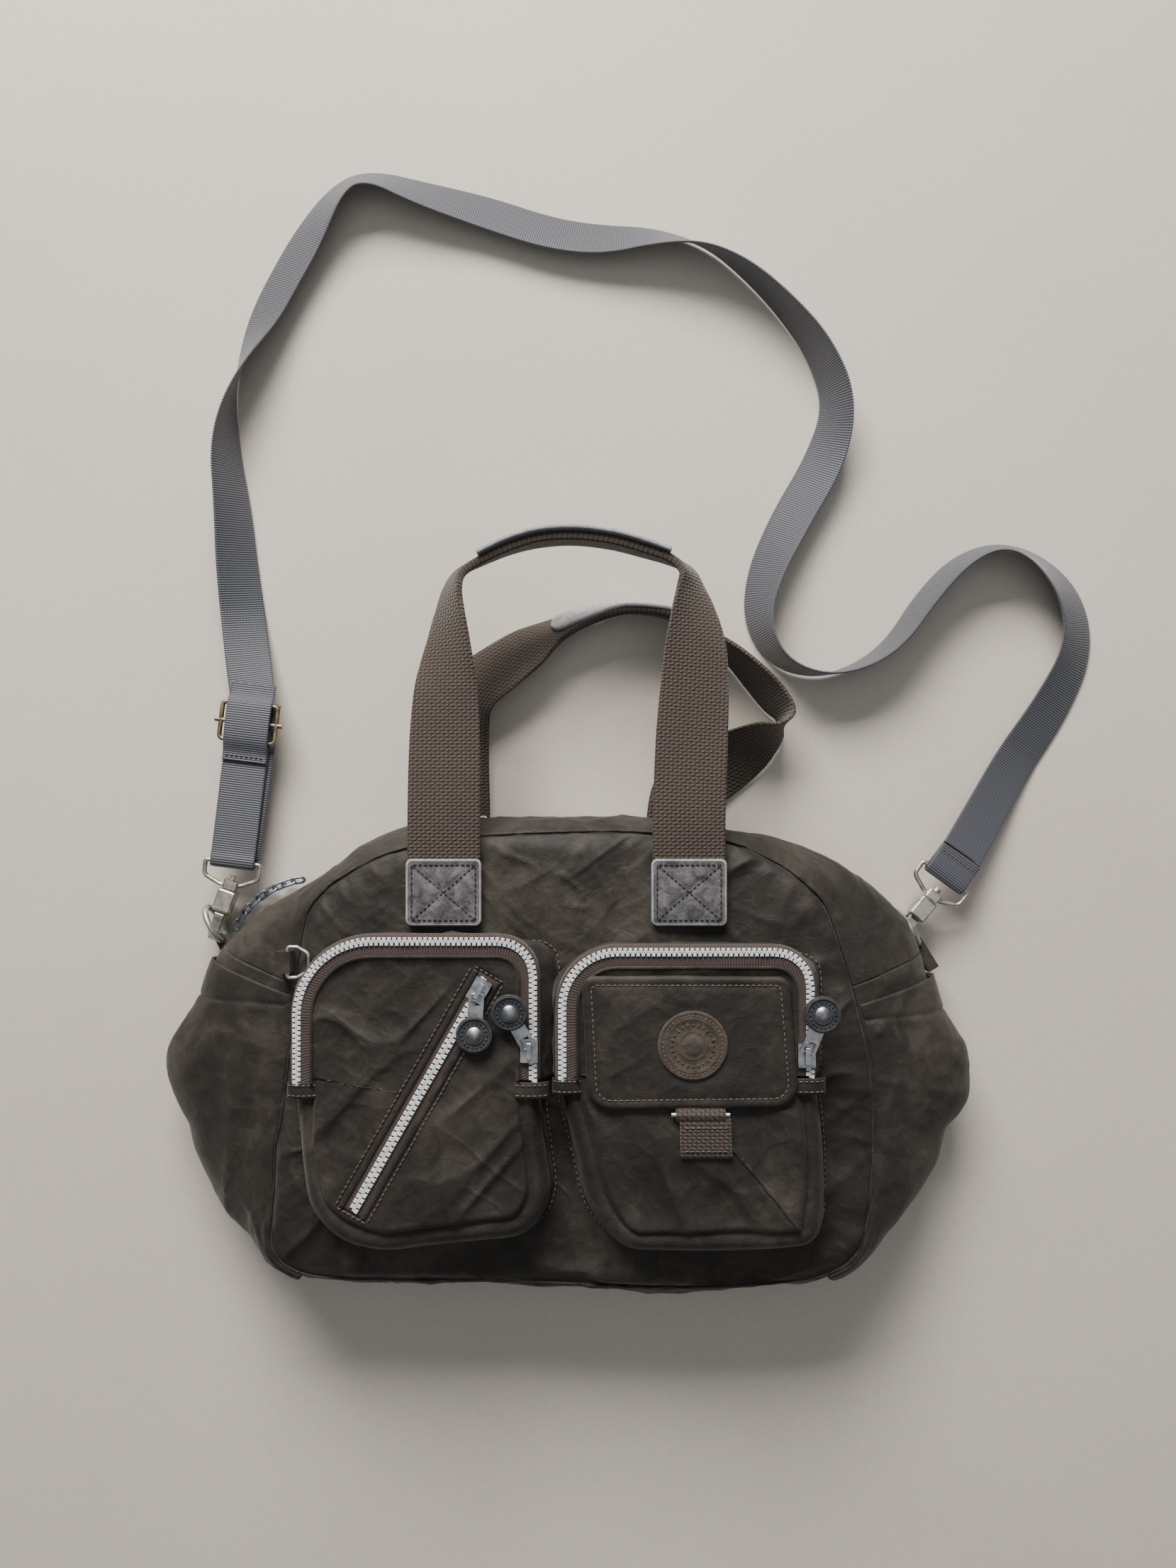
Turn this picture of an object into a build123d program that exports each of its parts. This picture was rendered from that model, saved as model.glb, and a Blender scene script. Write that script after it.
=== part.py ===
from build123d import *
import math
import os

os.makedirs("parts", exist_ok=True)

# A soft duffel-style shoulder bag, empty and lying on its back.
# X runs across the bag, Y towards its top edge, and Z up from the floor that the back panel lies on.

# Bag body
CLOTH = 1.4             # one cloth wall with its coating
LINING = 0.6
GAP = 0.4               # room between pieces that move past each other
BACK_SEAM_Z = 8.0
WIDEST_LOW_Z = 24.0     # the collapsed side walls are widest between these two levels
WIDEST_HIGH_Z = 36.0
FRONT_SEAM_Z = 57.0
FRONT_Z = 63.0          # outer face of the front panel
TOP_ARC_X = 95.0        # the top edge is an arc as far as this, each side
TOP_ARC_CENTRE_Y = -477.5
TOP_ARC_RADIUS = 612.0
BACK_SEAM_IN = 5.5      # the back seam's top edge lies this far inside the widest level's
FRONT_SEAM_IN = 6.5
TAIL_ROOM_Y = 72.0      # above here the back panel lifts off the floor to clear the rear webbing
TAIL_ROOM_Z = 4.0
FRONT_PANEL_EDGE_Z = 55.0
BACK_PANEL_EDGE_Z = 9.0
END_PANEL_TOP_Y = 62.0
BOTTOM_PANEL_X = 150.0
BOTTOM_PANEL_Y = -90.0
POCKET_MOUTH_Y = 53.0   # open upper edge of the side pockets
BIG = 600.0             # larger than the whole bag

# Zips
TOOTH_HALF = 2.9        # half the width of a closed row of teeth
TOOTH_RISE = 1.4
TAPE = 0.8
SLIDER_LENGTH = 12.0
SLIDER_HALF = 4.4
BRIDGE_AXIS_Z = 4.0     # height of the puller's hinge over the tape
TAB_HALF = 3.85
DISC_REACH = 20.5       # from the puller's hinge to the middle of its disc
DISC_RADIUS = 9.25
DISC_HALF = 1.3
RIVET_RADIUS = 4.1

# Front pockets
POCKET_Z = 83.0         # top of the pocket's side wall
FACE_Z = 85.2
TAPE_TOP_Z = POCKET_Z + TAPE
ZIP_IN = 4.2            # row of teeth, in from the pocket's edge
FACE_IN = 9.2           # edge of the pocket's face along the zip
TAPE_IN = 12.0

# Webbing and fittings
HANDLE_WIDTH = 38.0
HANDLE_THICK = 2.2
GRIP_TALL = 19.0        # the grip is the webbing folded in half along its length
STRAP_WIDTH = 25.0
STRAP_THICK = 1.6
FLOOR_GAP = 0.3
RING_RADIUS = 10.6
RING_WIRE = 1.7
RING_Z = 17.6
HOOK_Z = 16.0           # height of the strap's loops and of the hooks' axes
HOOK_HALF = 2.5
RING_ALONG_HOOK = 22.0  # from the swivel collar to the ring that the hook holds
LOOP_DEPTH = 10.0
LOOP_WIRE = 1.3
LOOP_OFFSET = 4.2       # from the collar's inner face to the foot of the wire loop


def save(shape, node):
    export_step(shape, "parts/" + node + ".step")


def group(solids):
    return Compound(children=list(solids))


def box(x, y, z):
    """A block between the given (low, high) pairs."""
    size = (x[1] - x[0], y[1] - y[0], z[1] - z[0])
    return Pos(x[0], y[0], z[0]) * Box(*size, align=(Align.MIN, Align.MIN, Align.MIN))


def rod(start, end, radius):
    start, end = Vector(*start), Vector(*end)
    plane = Plane(origin=start, z_dir=end - start)
    return plane * Cylinder(radius, (end - start).length, align=(Align.CENTER, Align.CENTER, Align.MIN))


def mirrored(points):
    return [(-x, y) for x, y in reversed(points)]


def top_arc(drop):
    """Points along the top edge from left to right, `drop` inside the widest level's arc."""
    radius = TOP_ARC_RADIUS - drop
    across = [TOP_ARC_X * step / 4 for step in range(-4, 5)]
    return [(x, TOP_ARC_CENTRE_Y + math.sqrt(radius**2 - x**2)) for x in across]


# Outlines run clockwise from the left shoulder. Each right-hand list starts at the right shoulder.
widest_right = [(130, 115), (152, 105), (168, 92), (180, 77), (186, 60), (187.5, 45), (189, 8), (188.5, -38),
                (180, -66), (160, -99), (142, -112)]
widest_bottom = [(90, -118), (0, -117), (-90, -115)]
WIDEST = top_arc(0) + widest_right + widest_bottom + mirrored(widest_right)

back_right = [(126, 111), (144, 98), (157, 78), (163, 52), (166, 8), (166, -40), (160, -76), (146, -98)]
BACK_SEAM = top_arc(BACK_SEAM_IN) + back_right + [(80, -106), (0, -106), (-80, -106)] + mirrored(back_right)

front_right = [(118, 107), (134, 91), (147, 58), (156, 27), (160.5, 4), (161.5, -45), (159, -76), (148, -97)]
front_bottom = [(80, -102), (0, -101), (-80, -101), (-142, -98)]
front_left = [(-155, -78), (-153, -38), (-147, 8), (-144, 37), (-137, 82), (-117, 106)]
FRONT_SEAM = top_arc(FRONT_SEAM_IN) + front_right + front_bottom + front_left

# The side pockets stand off the end panels, most of all where their loose cloth bulges outwards.
pocket_right = [(130, 117), (153, 107), (170, 95), (184, 80), (193, 63), (197, 47), (206, 27), (216, 11),
                (219.5, -2), (218, -18), (210, -31), (203, -43), (192, -67), (168, -101), (144, -114.5)]
POCKET_WIDEST = top_arc(-1.5) + pocket_right + [(90, -120), (0, -119), (-90, -118)] + mirrored(pocket_right)


def moved_in(points, distance):
    """A closed clockwise outline with every point moved inwards, square to its neighbours' chord."""
    before = points[-1:] + points[:-1]
    after = points[1:] + points[:1]
    moved = []
    for (x0, y0), (x, y), (x1, y1) in zip(before, points, after):
        chord = math.hypot(x1 - x0, y1 - y0)
        moved.append((x + distance * (y1 - y0) / chord, y - distance * (x1 - x0) / chord))
    return moved


def taut_form(levels):
    """The convex solid stretched over closed outlines, each given as (points, height)."""
    return ConvexPolyhedron([(x, y, z) for points, z in levels for x, y in points])


def bag_solid(inset):
    """The bag's closed outer form, drawn in by `inset` on every side."""
    body = taut_form([
        (moved_in(BACK_SEAM, 6 + inset), inset),
        (moved_in(BACK_SEAM, inset), BACK_SEAM_Z),
        (moved_in(WIDEST, inset), WIDEST_LOW_Z),
        (moved_in(WIDEST, inset), WIDEST_HIGH_Z),
        (moved_in(FRONT_SEAM, inset), FRONT_SEAM_Z),
        (moved_in(FRONT_SEAM, 4 + inset), FRONT_Z - inset),
    ])
    return body - box((-BIG, BIG), (TAIL_ROOM_Y - inset, BIG), (-BIG, TAIL_ROOM_Z + inset))


def side_skin_solid(inset):
    """The form that the outside of both side pockets lies on."""
    return taut_form([
        (moved_in(BACK_SEAM, inset - 1.5), 2.5),
        (moved_in(BACK_SEAM, inset - 3), BACK_SEAM_Z),
        (moved_in(POCKET_WIDEST, inset), WIDEST_LOW_Z),
        (moved_in(POCKET_WIDEST, inset), WIDEST_HIGH_Z),
        (moved_in(FRONT_SEAM, inset - 1.6), FRONT_SEAM_Z - 1.0),
    ])


# ---- Bag body: panels, lining, main zip and side pockets ----

outer = bag_solid(0)
shell = outer - bag_solid(CLOTH)
MAIN_ZIP_X = 138.0
MAIN_ZIP_Z = (11.5, 22.5)
MAIN_TEETH_Z = (14.1, 19.9)
MAIN_TAPE_DEPTH = 0.3
main_slot = box((-MAIN_ZIP_X, MAIN_ZIP_X), (END_PANEL_TOP_Y + 8, BIG), MAIN_ZIP_Z)

front_panel = shell & box((-BIG, BIG), (-BIG, BIG), (FRONT_PANEL_EDGE_Z, BIG))
back_panel = shell & box((-BIG, BIG), (-BIG, BIG), (-BIG, BACK_PANEL_EDGE_Z))
side_band = shell & box((-BIG, BIG), (-BIG, BIG), (BACK_PANEL_EDGE_Z, FRONT_PANEL_EDGE_Z))
bottom_zone = box((-BOTTOM_PANEL_X, BOTTOM_PANEL_X), (-BIG, BOTTOM_PANEL_Y), (-BIG, BIG))
top_zone = box((-BIG, BIG), (END_PANEL_TOP_Y, BIG), (-BIG, BIG))
end_band = side_band - bottom_zone - top_zone

save(front_panel, "front_panel")
save(back_panel, "back_panel")
save(side_band & bottom_zone, "bottom_panel")
save((side_band & top_zone) - main_slot, "top_gusset")
save(end_band & box((-BIG, 0), (-BIG, BIG), (-BIG, BIG)), "left_end_panel")
save(end_band & box((0, BIG), (-BIG, BIG), (-BIG, BIG)), "right_end_panel")

lining_out = CLOTH + 0.3
lining = bag_solid(lining_out) - bag_solid(lining_out + LINING)
save(lining - main_slot, "lining")

main_tape = (bag_solid(MAIN_TAPE_DEPTH) - bag_solid(MAIN_TAPE_DEPTH + TAPE)) & main_slot
teeth_zone = box((-MAIN_ZIP_X + 2, MAIN_ZIP_X - 2), (END_PANEL_TOP_Y + 8, BIG), MAIN_TEETH_Z)
save(main_tape - teeth_zone, "main_zip_tape")
main_teeth = bag_solid(MAIN_TAPE_DEPTH - TOOTH_RISE) - bag_solid(MAIN_TAPE_DEPTH + TAPE)
save(main_teeth & teeth_zone, "main_zip_teeth")

side_skin = side_skin_solid(0) - side_skin_solid(CLOTH) - bag_solid(-0.3)
for side, name in ((-1, "left"), (1, "right")):
    near, far = sorted((side * 148, side * BIG))
    pocket_zone = box((near, far), (-BIG, POCKET_MOUTH_Y), (FLOOR_GAP + 2.5, FRONT_SEAM_Z - 1.4))
    skin = (side_skin & pocket_zone).solids().sort_by(SortBy.VOLUME)[-1]
    save(skin, name + "_side_pocket")


# ---- Zip slider, puller and disc, shared by all four zips ----
# In their own frame the tape's upper face is z = 0 and the zip runs along X.

def zip_slider():
    roof = box((-SLIDER_LENGTH / 2, SLIDER_LENGTH / 2), (-SLIDER_HALF, SLIDER_HALF), (1.8, 2.8))
    body = roof
    for side in (-1, 1):
        wall_y = sorted((side * (TOOTH_HALF + 0.5), side * SLIDER_HALF))
        body += box((-SLIDER_LENGTH / 2, SLIDER_LENGTH / 2), wall_y, (0.35, 1.8))
    body = fillet(body.edges().filter_by(Axis.Z), 0.45)
    bridge = box((-4.6, 4.6), (-1.1, 1.1), (2.7, 5.6)) - box((-3.4, 3.4), (-2, 2), (2.8, 4.8))
    bridge = fillet(bridge.edges().filter_by(Axis.Y).group_by(Axis.Z)[-1], 0.8)
    return body + bridge


def zip_puller():
    """The metal tab, its eye bar at the origin and the rivet that holds the disc."""
    tab_end = DISC_REACH + 1.5
    outline = Pos((tab_end - 1) / 2, 0) * RectangleRounded(tab_end + 1, 2 * TAB_HALF, 1.2)
    tab = extrude(outline, 0.6, both=True)
    tab -= box((-3, 5.6), (-2.4, 2.4), (-2, 2))
    tab += rod((0, -3, 0), (0, 3, 0), 0.55)
    shank = Pos(DISC_REACH, 0, 0) * Cylinder(1.4, 2 * DISC_HALF)
    dome_ball = Pos(DISC_REACH, 0, DISC_HALF + 1.6 - 6.05) * Sphere(6.05)
    dome = dome_ball & box((-BIG, BIG), (-BIG, BIG), (DISC_HALF, BIG))
    return tab + shank + dome


def zip_disc(puller):
    disc = Cylinder(DISC_RADIUS, 2 * DISC_HALF)
    disc = fillet(disc.edges(), 0.5)
    groove = Cylinder(DISC_RADIUS - 1.2, 1) - Cylinder(RIVET_RADIUS + 0.9, 1)
    disc -= Pos(0, 0, DISC_HALF + 0.1) * groove
    return Pos(DISC_REACH, 0, 0) * disc - puller


def puller_place(hinge, heading, tilt):
    """Where a puller lies: its hinge point, its compass heading and how far its disc is lifted."""
    return Pos(*hinge) * Rot(0, 0, heading) * Rot(0, -tilt, 0)


slider_shape = zip_slider()
puller_shape = zip_puller()
disc_shape = zip_disc(puller_shape)


def save_slider_set(prefix, slider_place, puller_place_):
    save(slider_place * slider_shape, prefix + "_slider")
    save(puller_place_ * puller_shape, prefix + "_puller")
    save(puller_place_ * disc_shape, prefix + "_disc")
    hinge = (puller_place_ * Pos(0, 0, 0)).position
    axis = (puller_place_ * Pos(0, 1, 0)).position - hinge
    print(prefix, "puller hinge", tuple(round(v, 3) for v in hinge), "axis", tuple(round(v, 4) for v in axis))


# Main zip slider: it rides on the sloping top gusset and turns with the top edge's arc.
MAIN_SLIDER_X = -50.0
main_z = sum(MAIN_ZIP_Z) / 2
main_lean = math.degrees(math.atan2(BACK_SEAM_IN, WIDEST_LOW_Z - BACK_SEAM_Z))
main_in = BACK_SEAM_IN * (WIDEST_LOW_Z - main_z) / (WIDEST_LOW_Z - BACK_SEAM_Z)
main_radius = TOP_ARC_RADIUS - main_in - MAIN_TAPE_DEPTH + GAP
main_turn = math.degrees(math.asin(-MAIN_SLIDER_X / main_radius))
main_y = TOP_ARC_CENTRE_Y + math.sqrt(main_radius**2 - MAIN_SLIDER_X**2)
main_place = Pos(MAIN_SLIDER_X, main_y, main_z) * Rot(0, 0, main_turn) * Rot(-90 - main_lean, 0, 0)
main_pull = main_place * Pos(-2.6, 0, BRIDGE_AXIS_Z) * Rot(0, 0, 180) * Rot(0, 3, 0)
save_slider_set("main_zip", main_place, main_pull)
print("main zip radius", round(main_radius, 2), "slider y", round(main_y, 2))


# ---- Front pockets ----

def rounded_face(x, y, radii, inset=0.0):
    """A rectangle with its own radius at each corner: top left, top right, bottom right, bottom left."""
    x0, x1 = x[0] + inset, x[1] - inset
    y0, y1 = y[0] + inset, y[1] - inset
    corners = [(x0, y1), (x1, y1), (x1, y0), (x0, y0)]
    return make_face(FilletPolyline(*corners, radius=[r - inset for r in radii], close=True))


def slab(face, low, high):
    return Pos(0, 0, low) * extrude(face, high - low)


def pocket_pieces(x, y, radii, zip_end_y):
    """Side wall, face, zip tape and teeth of a box pocket whose zip runs over its top half."""
    whole = rounded_face(x, y, radii)
    wall = slab(whole, FRONT_Z, POCKET_Z) - slab(rounded_face(x, y, radii, CLOTH), FRONT_Z, POCKET_Z)
    upper = box((-BIG, BIG), (zip_end_y, BIG), (-BIG, BIG))
    lower = box((-BIG, BIG), (-BIG, zip_end_y), (-BIG, BIG))
    face = slab(rounded_face(x, y, radii, FACE_IN), TAPE_TOP_Z, FACE_Z) & upper
    face += slab(whole, POCKET_Z, FACE_Z) & lower
    tape = slab(whole, POCKET_Z, TAPE_TOP_Z) - slab(rounded_face(x, y, radii, TAPE_IN), POCKET_Z, TAPE_TOP_Z)
    teeth_low, teeth_high = TAPE_TOP_Z, TAPE_TOP_Z + TOOTH_RISE
    teeth = slab(rounded_face(x, y, radii, ZIP_IN - TOOTH_HALF), teeth_low, teeth_high)
    teeth -= slab(rounded_face(x, y, radii, ZIP_IN + TOOTH_HALF), teeth_low, teeth_high)
    return wall, face, tape & upper, teeth & upper


LEFT_POCKET_X = (-138.2, -14.3)
LEFT_POCKET_Y = (-84.5, 76.5)
LEFT_POCKET_RADII = (40, 20, 16, 16)
LEFT_ZIP_END_Y = 2.0
RIGHT_POCKET_X = (-3.9, 125.9)
RIGHT_POCKET_Y = (-85.0, 71.1)
RIGHT_POCKET_RADII = (30, 20, 16, 16)
RIGHT_ZIP_END_Y = 4.0

wall, face, tape, teeth = pocket_pieces(LEFT_POCKET_X, LEFT_POCKET_Y, LEFT_POCKET_RADII, LEFT_ZIP_END_Y)
# The diagonal zip lies in a slot of the left pocket's face.
DIAGONAL_START = (-107.3, -61.5)
DIAGONAL_ANGLE = 60.3
DIAGONAL_LENGTH = 135.0
DIAGONAL_TAPE_TOP_Z = 84.6
diagonal = Pos(*DIAGONAL_START) * Rot(0, 0, DIAGONAL_ANGLE)
diagonal_slot = diagonal * box((-2, DIAGONAL_LENGTH + 2), (-5.6, 5.6), (0, BIG))
diagonal_tape = diagonal * box((-2, DIAGONAL_LENGTH + 2), (-5.6, 5.6), (TAPE_TOP_Z, DIAGONAL_TAPE_TOP_Z))
diagonal_teeth_z = (DIAGONAL_TAPE_TOP_Z, DIAGONAL_TAPE_TOP_Z + TOOTH_RISE)
save(wall, "left_pocket_gusset")
save(face - diagonal_slot, "left_pocket_face")
save(tape, "left_pocket_zip_tape")
save(teeth, "left_pocket_zip_teeth")
save(diagonal_tape, "diagonal_zip_tape")
save(diagonal * box((0, DIAGONAL_LENGTH), (-TOOTH_HALF, TOOTH_HALF), diagonal_teeth_z), "diagonal_zip_teeth")

LEFT_SLIDER_Y = 19.5
RIGHT_SLIDER_Y = 17.0
DIAGONAL_SLIDER_S = 128.5
left_slider = Pos(LEFT_POCKET_X[1] - ZIP_IN, LEFT_SLIDER_Y, TAPE_TOP_Z) * Rot(0, 0, 90)
left_hinge = (LEFT_POCKET_X[1] - ZIP_IN, LEFT_SLIDER_Y + 2, TAPE_TOP_Z + BRIDGE_AXIS_Z)
save_slider_set("left_pocket_zip", left_slider, puller_place(left_hinge, 118, 6))

diagonal_slider = diagonal * Pos(DIAGONAL_SLIDER_S, 0, DIAGONAL_TAPE_TOP_Z)
diagonal_hinge = (diagonal_slider * Pos(-2, 0, BRIDGE_AXIS_Z)).position
save_slider_set("diagonal_zip", diagonal_slider, puller_place(tuple(diagonal_hinge), -93.5, -1.5))

wall, face, tape, teeth = pocket_pieces(RIGHT_POCKET_X, RIGHT_POCKET_Y, RIGHT_POCKET_RADII, RIGHT_ZIP_END_Y)
save(wall, "right_pocket_gusset")
save(face, "right_pocket_face")
save(tape, "right_pocket_zip_tape")
save(teeth, "right_pocket_zip_teeth")
right_slider = Pos(RIGHT_POCKET_X[1] - ZIP_IN, RIGHT_SLIDER_Y, TAPE_TOP_Z) * Rot(0, 0, 90)
right_hinge = (RIGHT_POCKET_X[1] - ZIP_IN, RIGHT_SLIDER_Y + 2, TAPE_TOP_Z + BRIDGE_AXIS_Z)
save_slider_set("right_pocket_zip", right_slider, puller_place(right_hinge, 68, 0))


# ---- Flap of the right pocket ----

FLAP_Z = (86.3, 88.7)
PAD_X = (52.0, 82.0)
PAD_Y = (-5.0, 7.0)
PAD_THICK = 0.7
BADGE_CENTRE = (63.9, 22.8)
BADGE_RADIUS = 17.4
BAR_Y = -12.3

flap_corners = [(9.5, 56.2), (112, 56.2), (116, -7.5), (12, -8.5)]
flap_face = make_face(FilletPolyline(*flap_corners, radius=[5, 5, 11, 11], close=True))
flap_pad = box(PAD_X, PAD_Y, (FLAP_Z[0], FLAP_Z[0] + PAD_THICK))
save(slab(flap_face, *FLAP_Z) - flap_pad, "flap")
save(flap_pad, "flap_pad")
save(box(PAD_X, PAD_Y, (FACE_Z, FACE_Z + PAD_THICK)), "pocket_pad")

badge = Cylinder(BADGE_RADIUS, 1.2, align=(Align.CENTER, Align.CENTER, Align.MIN))
badge += Cylinder(5.7, 2.0, align=(Align.CENTER, Align.CENTER, Align.MIN))
save(Pos(*BADGE_CENTRE, FLAP_Z[1]) * badge, "flap_badge")

bar_z = FLAP_Z[0] + 1.8
flap_bar = rod((53.2, BAR_Y, bar_z), (82.6, BAR_Y, bar_z), 1.2)
pull_tab = box((55.5, 80.5), (BAR_Y - 4, -8.5), FLAP_Z)
pull_tab += box((58, 83), (-34, BAR_Y - 4), FLAP_Z)
pull_tab += rod((55.5, BAR_Y, bar_z), (80.5, BAR_Y, bar_z), 1.8)
save(pull_tab - flap_bar, "flap_pull_tab")
save(flap_bar, "flap_bar")


# ---- Handles ----

FRONT_LEG_X = 64.0
PATCH_LENGTH = 34.0
PATCH_THICK = 1.2
PATCH_Y = 80.5
FRONT_HINGE_Y = 115.2
REAR_HINGE_Y = 138.0
REAR_WEB_Z = 1.5        # underside of the rear webbing
FRONT_LEAN = 3.5        # the front handle sinks towards its grip

tails = []
patches = []
for x in (-FRONT_LEG_X, FRONT_LEG_X):
    across = (x - HANDLE_WIDTH / 2, x + HANDLE_WIDTH / 2)
    patch_y = (PATCH_Y, PATCH_Y + PATCH_LENGTH)
    front_top = FRONT_Z + HANDLE_THICK
    tails.append(box(across, (PATCH_Y, FRONT_HINGE_Y - 0.3), (FRONT_Z, front_top)))
    patches.append(box(across, patch_y, (front_top, front_top + PATCH_THICK)))
    tails.append(box(across, (PATCH_Y, REAR_HINGE_Y - 0.3), (REAR_WEB_Z, REAR_WEB_Z + HANDLE_THICK)))
    patches.append(box(across, patch_y, (REAR_WEB_Z - PATCH_THICK, REAR_WEB_Z)))
save(group(tails), "handle_tails")
save(group(patches), "handle_patches")


def corner_radii(points):
    """The largest tangent arc that each inner corner of a route has room for."""
    radii = []
    for before, here, after in zip(points, points[1:], points[2:]):
        a = Vector(*here) - Vector(*before)
        b = Vector(*after) - Vector(*here)
        turn = math.radians(a.get_angle(b))
        radii.append(0.45 * min(a.length, b.length) / math.tan(turn / 2))
    return radii


def standing_ribbon(points, thick, low, high):
    """A band on its edge along a level route of straight runs and tangent arcs."""
    path = FilletPolyline(*points, radius=corner_radii(points))
    path = Pos(0, 0, (low + high) / 2) * path
    start = Plane(origin=path @ 0, x_dir=(0, 0, 1), z_dir=path % 0)
    return sweep(start * Rectangle(high - low, thick), path=path)


def handle_leg(length, taper_from, end_half):
    half = HANDLE_WIDTH / 2
    corners = [(-half, 0), (-half, taper_from), (-end_half, length), (end_half, length), (half, taper_from),
               (half, 0)]
    return extrude(make_face(Polyline(*corners, close=True)), HANDLE_THICK)


front_arch = [(-63, 258), (-58, 270), (-46, 279), (-28, 285), (-4, 287), (18, 286), (38, 282.5), (56, 276),
              (66, 258)]
front_legs = [Pos(x, FRONT_HINGE_Y + 0.3, FRONT_Z + 0.9) * Rot(-FRONT_LEAN, 0, 0) * handle_leg(148, 110, 8)
              for x in (-FRONT_LEG_X, FRONT_LEG_X)]
ARCH_Z = (42.5, 42.5 + GRIP_TALL)
front_handle = standing_ribbon(front_arch, 4.6, *ARCH_Z) + front_legs[0] + front_legs[1]
save(front_handle, "front_handle")
front_liner = [(-50.2, 280.4), (-29.5, 288.2), (-4.3, 290.1), (18.3, 289.1), (38.9, 285.7), (54, 280.3)]
save(standing_ribbon(front_liner, 1.2, *ARCH_Z) - front_handle, "front_grip")

rear_loop = [(-64, 182), (-64, 196), (-56, 210), (-36, 222.5), (-12, 241), (14, 252), (38, 254), (60, 249),
             (88, 230.5), (110, 211.5), (121.5, 195), (114, 180), (95, 171.5), (72, 166)]
REAR_TOP = REAR_WEB_Z + GRIP_TALL
rear_handle = standing_ribbon(rear_loop, 4.6, REAR_WEB_Z, REAR_TOP)
for x, length in ((-FRONT_LEG_X, 50), (FRONT_LEG_X, 34)):
    rear_handle += Pos(x, REAR_HINGE_Y + 0.3, REAR_WEB_Z) * handle_leg(length, length - 6, 14)
save(rear_handle, "rear_handle")
rear_liner = [(-11, 245.6), (14, 255.5), (38.2, 257.4), (61, 252.3)]
save(standing_ribbon(rear_liner, 1.2, REAR_WEB_Z, REAR_TOP) - rear_handle, "rear_grip")


# ---- Rings, D-ring, tabs and chain ----

LEFT_RING = (-198.0, 75.2)
LEFT_RING_ALONG = (-0.464, 0.886)      # level direction in the ring's plane, away from its tab
LEFT_HOOK_AWAY = (0.342, 0.940)        # from the ring along the hook to its collar
LEFT_STRAP_AWAY = (0.121, 0.993)
RIGHT_RING = (190.7, 73.0)
RIGHT_RING_ALONG = (-0.53, 0.848)
RIGHT_HOOK_AWAY = (0.634, 0.773)
RIGHT_STRAP_AWAY = (0.584, 0.812)
D_RING = (-140.5, 61.0)


def ring_at(centre, along, wire):
    plane = Plane(origin=(*centre, RING_Z), x_dir=(*along, 0), z_dir=(along[1], -along[0], 0))
    return plane * Torus(RING_RADIUS, wire)


def level_plane(origin, along):
    """A level frame whose X runs along the given direction."""
    return Plane(origin=origin, x_dir=(*along, 0), z_dir=(0, 0, 1))


def ring_tab(centre, along):
    """The cloth loop round the ring's lower end, sewn to the end of the top gusset."""
    frame = level_plane((*centre, RING_Z), (-along[0], -along[1]))
    tab = frame * box((RING_RADIUS - 3.2, RING_RADIUS + 16), (-3.2, 3.2), (-4, 4))
    return tab - ring_at(centre, along, RING_WIRE + 0.45) - side_skin_solid(-0.3) - bag_solid(-0.3)


d_ring_z = FRONT_Z + 2.6
d_tab = box((D_RING[0] - 11, D_RING[0] - 3.2), (D_RING[1] - 5.6, D_RING[1] + 5.6), (FRONT_Z - 5, d_ring_z + 2.2))
d_tab -= bag_solid(0)
d_path = FilletPolyline((-5, 8), (0, 8), (6, 4.5), (6, -4.5), (0, -8), (-5, -8), radius=[1.5, 3, 3, 3, 3, 1.5],
                        close=True)
d_ring_frame = Pos(*D_RING, d_ring_z)
d_start = Plane(origin=d_path @ 0, z_dir=d_path % 0)
d_ring = d_ring_frame * sweep(d_start * Circle(1.0), path=d_path)
d_hole = d_ring_frame * rod((-5, -9, 0), (-5, 9, 0), 1.25)
save(d_ring, "front_d_ring")
d_tab = (d_tab - d_hole).solids().sort_by(SortBy.VOLUME)[-1]
rings = (("left", LEFT_RING, LEFT_RING_ALONG), ("right", RIGHT_RING, RIGHT_RING_ALONG))
tabs = [d_tab]
for name, centre, along in rings:
    save(ring_at(centre, along, RING_WIRE), name + "_ring")
    tabs.append(ring_tab(centre, along).solids().sort_by(SortBy.VOLUME)[-1])
save(group(tabs), "ring_tabs")


def chain_link(centre, heading, roll):
    """One welded oval link."""
    path = FilletPolyline((-3.7, 2.2), (3.7, 2.2), (3.7, -2.2), (-3.7, -2.2), radius=2.15, close=True)
    start = Plane(origin=path @ 0, z_dir=path % 0)
    link = sweep(start * Circle(0.8), path=path)
    return Pos(*centre) * Rot(0, 0, heading) * Rot(roll, 0, 0) * link


CHAIN_Z = 6.5
CHAIN_PITCH = 5.6
CHAIN_LINKS = 9
CHAIN_START = (-189.5, 73.5)
chain = []
chain_x, chain_y = CHAIN_START
for index in range(CHAIN_LINKS):
    heading = 62 - 6.5 * index
    roll = 45 if index % 2 == 0 else -45
    chain.append(chain_link((chain_x, chain_y, CHAIN_Z), heading, roll))
    step = math.radians(heading - 3.25)
    chain_x += CHAIN_PITCH * math.cos(step)
    chain_y += CHAIN_PITCH * math.sin(step)
save(group(chain), "charm_chain")


# ---- Swivel snap hooks ----
# In the hook's own frame X runs from the collar towards the nose, and Z is the height over the floor.

GATE_PIVOT = (9.0, 6.6)
JAW_TIP_X = 16.4


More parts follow.
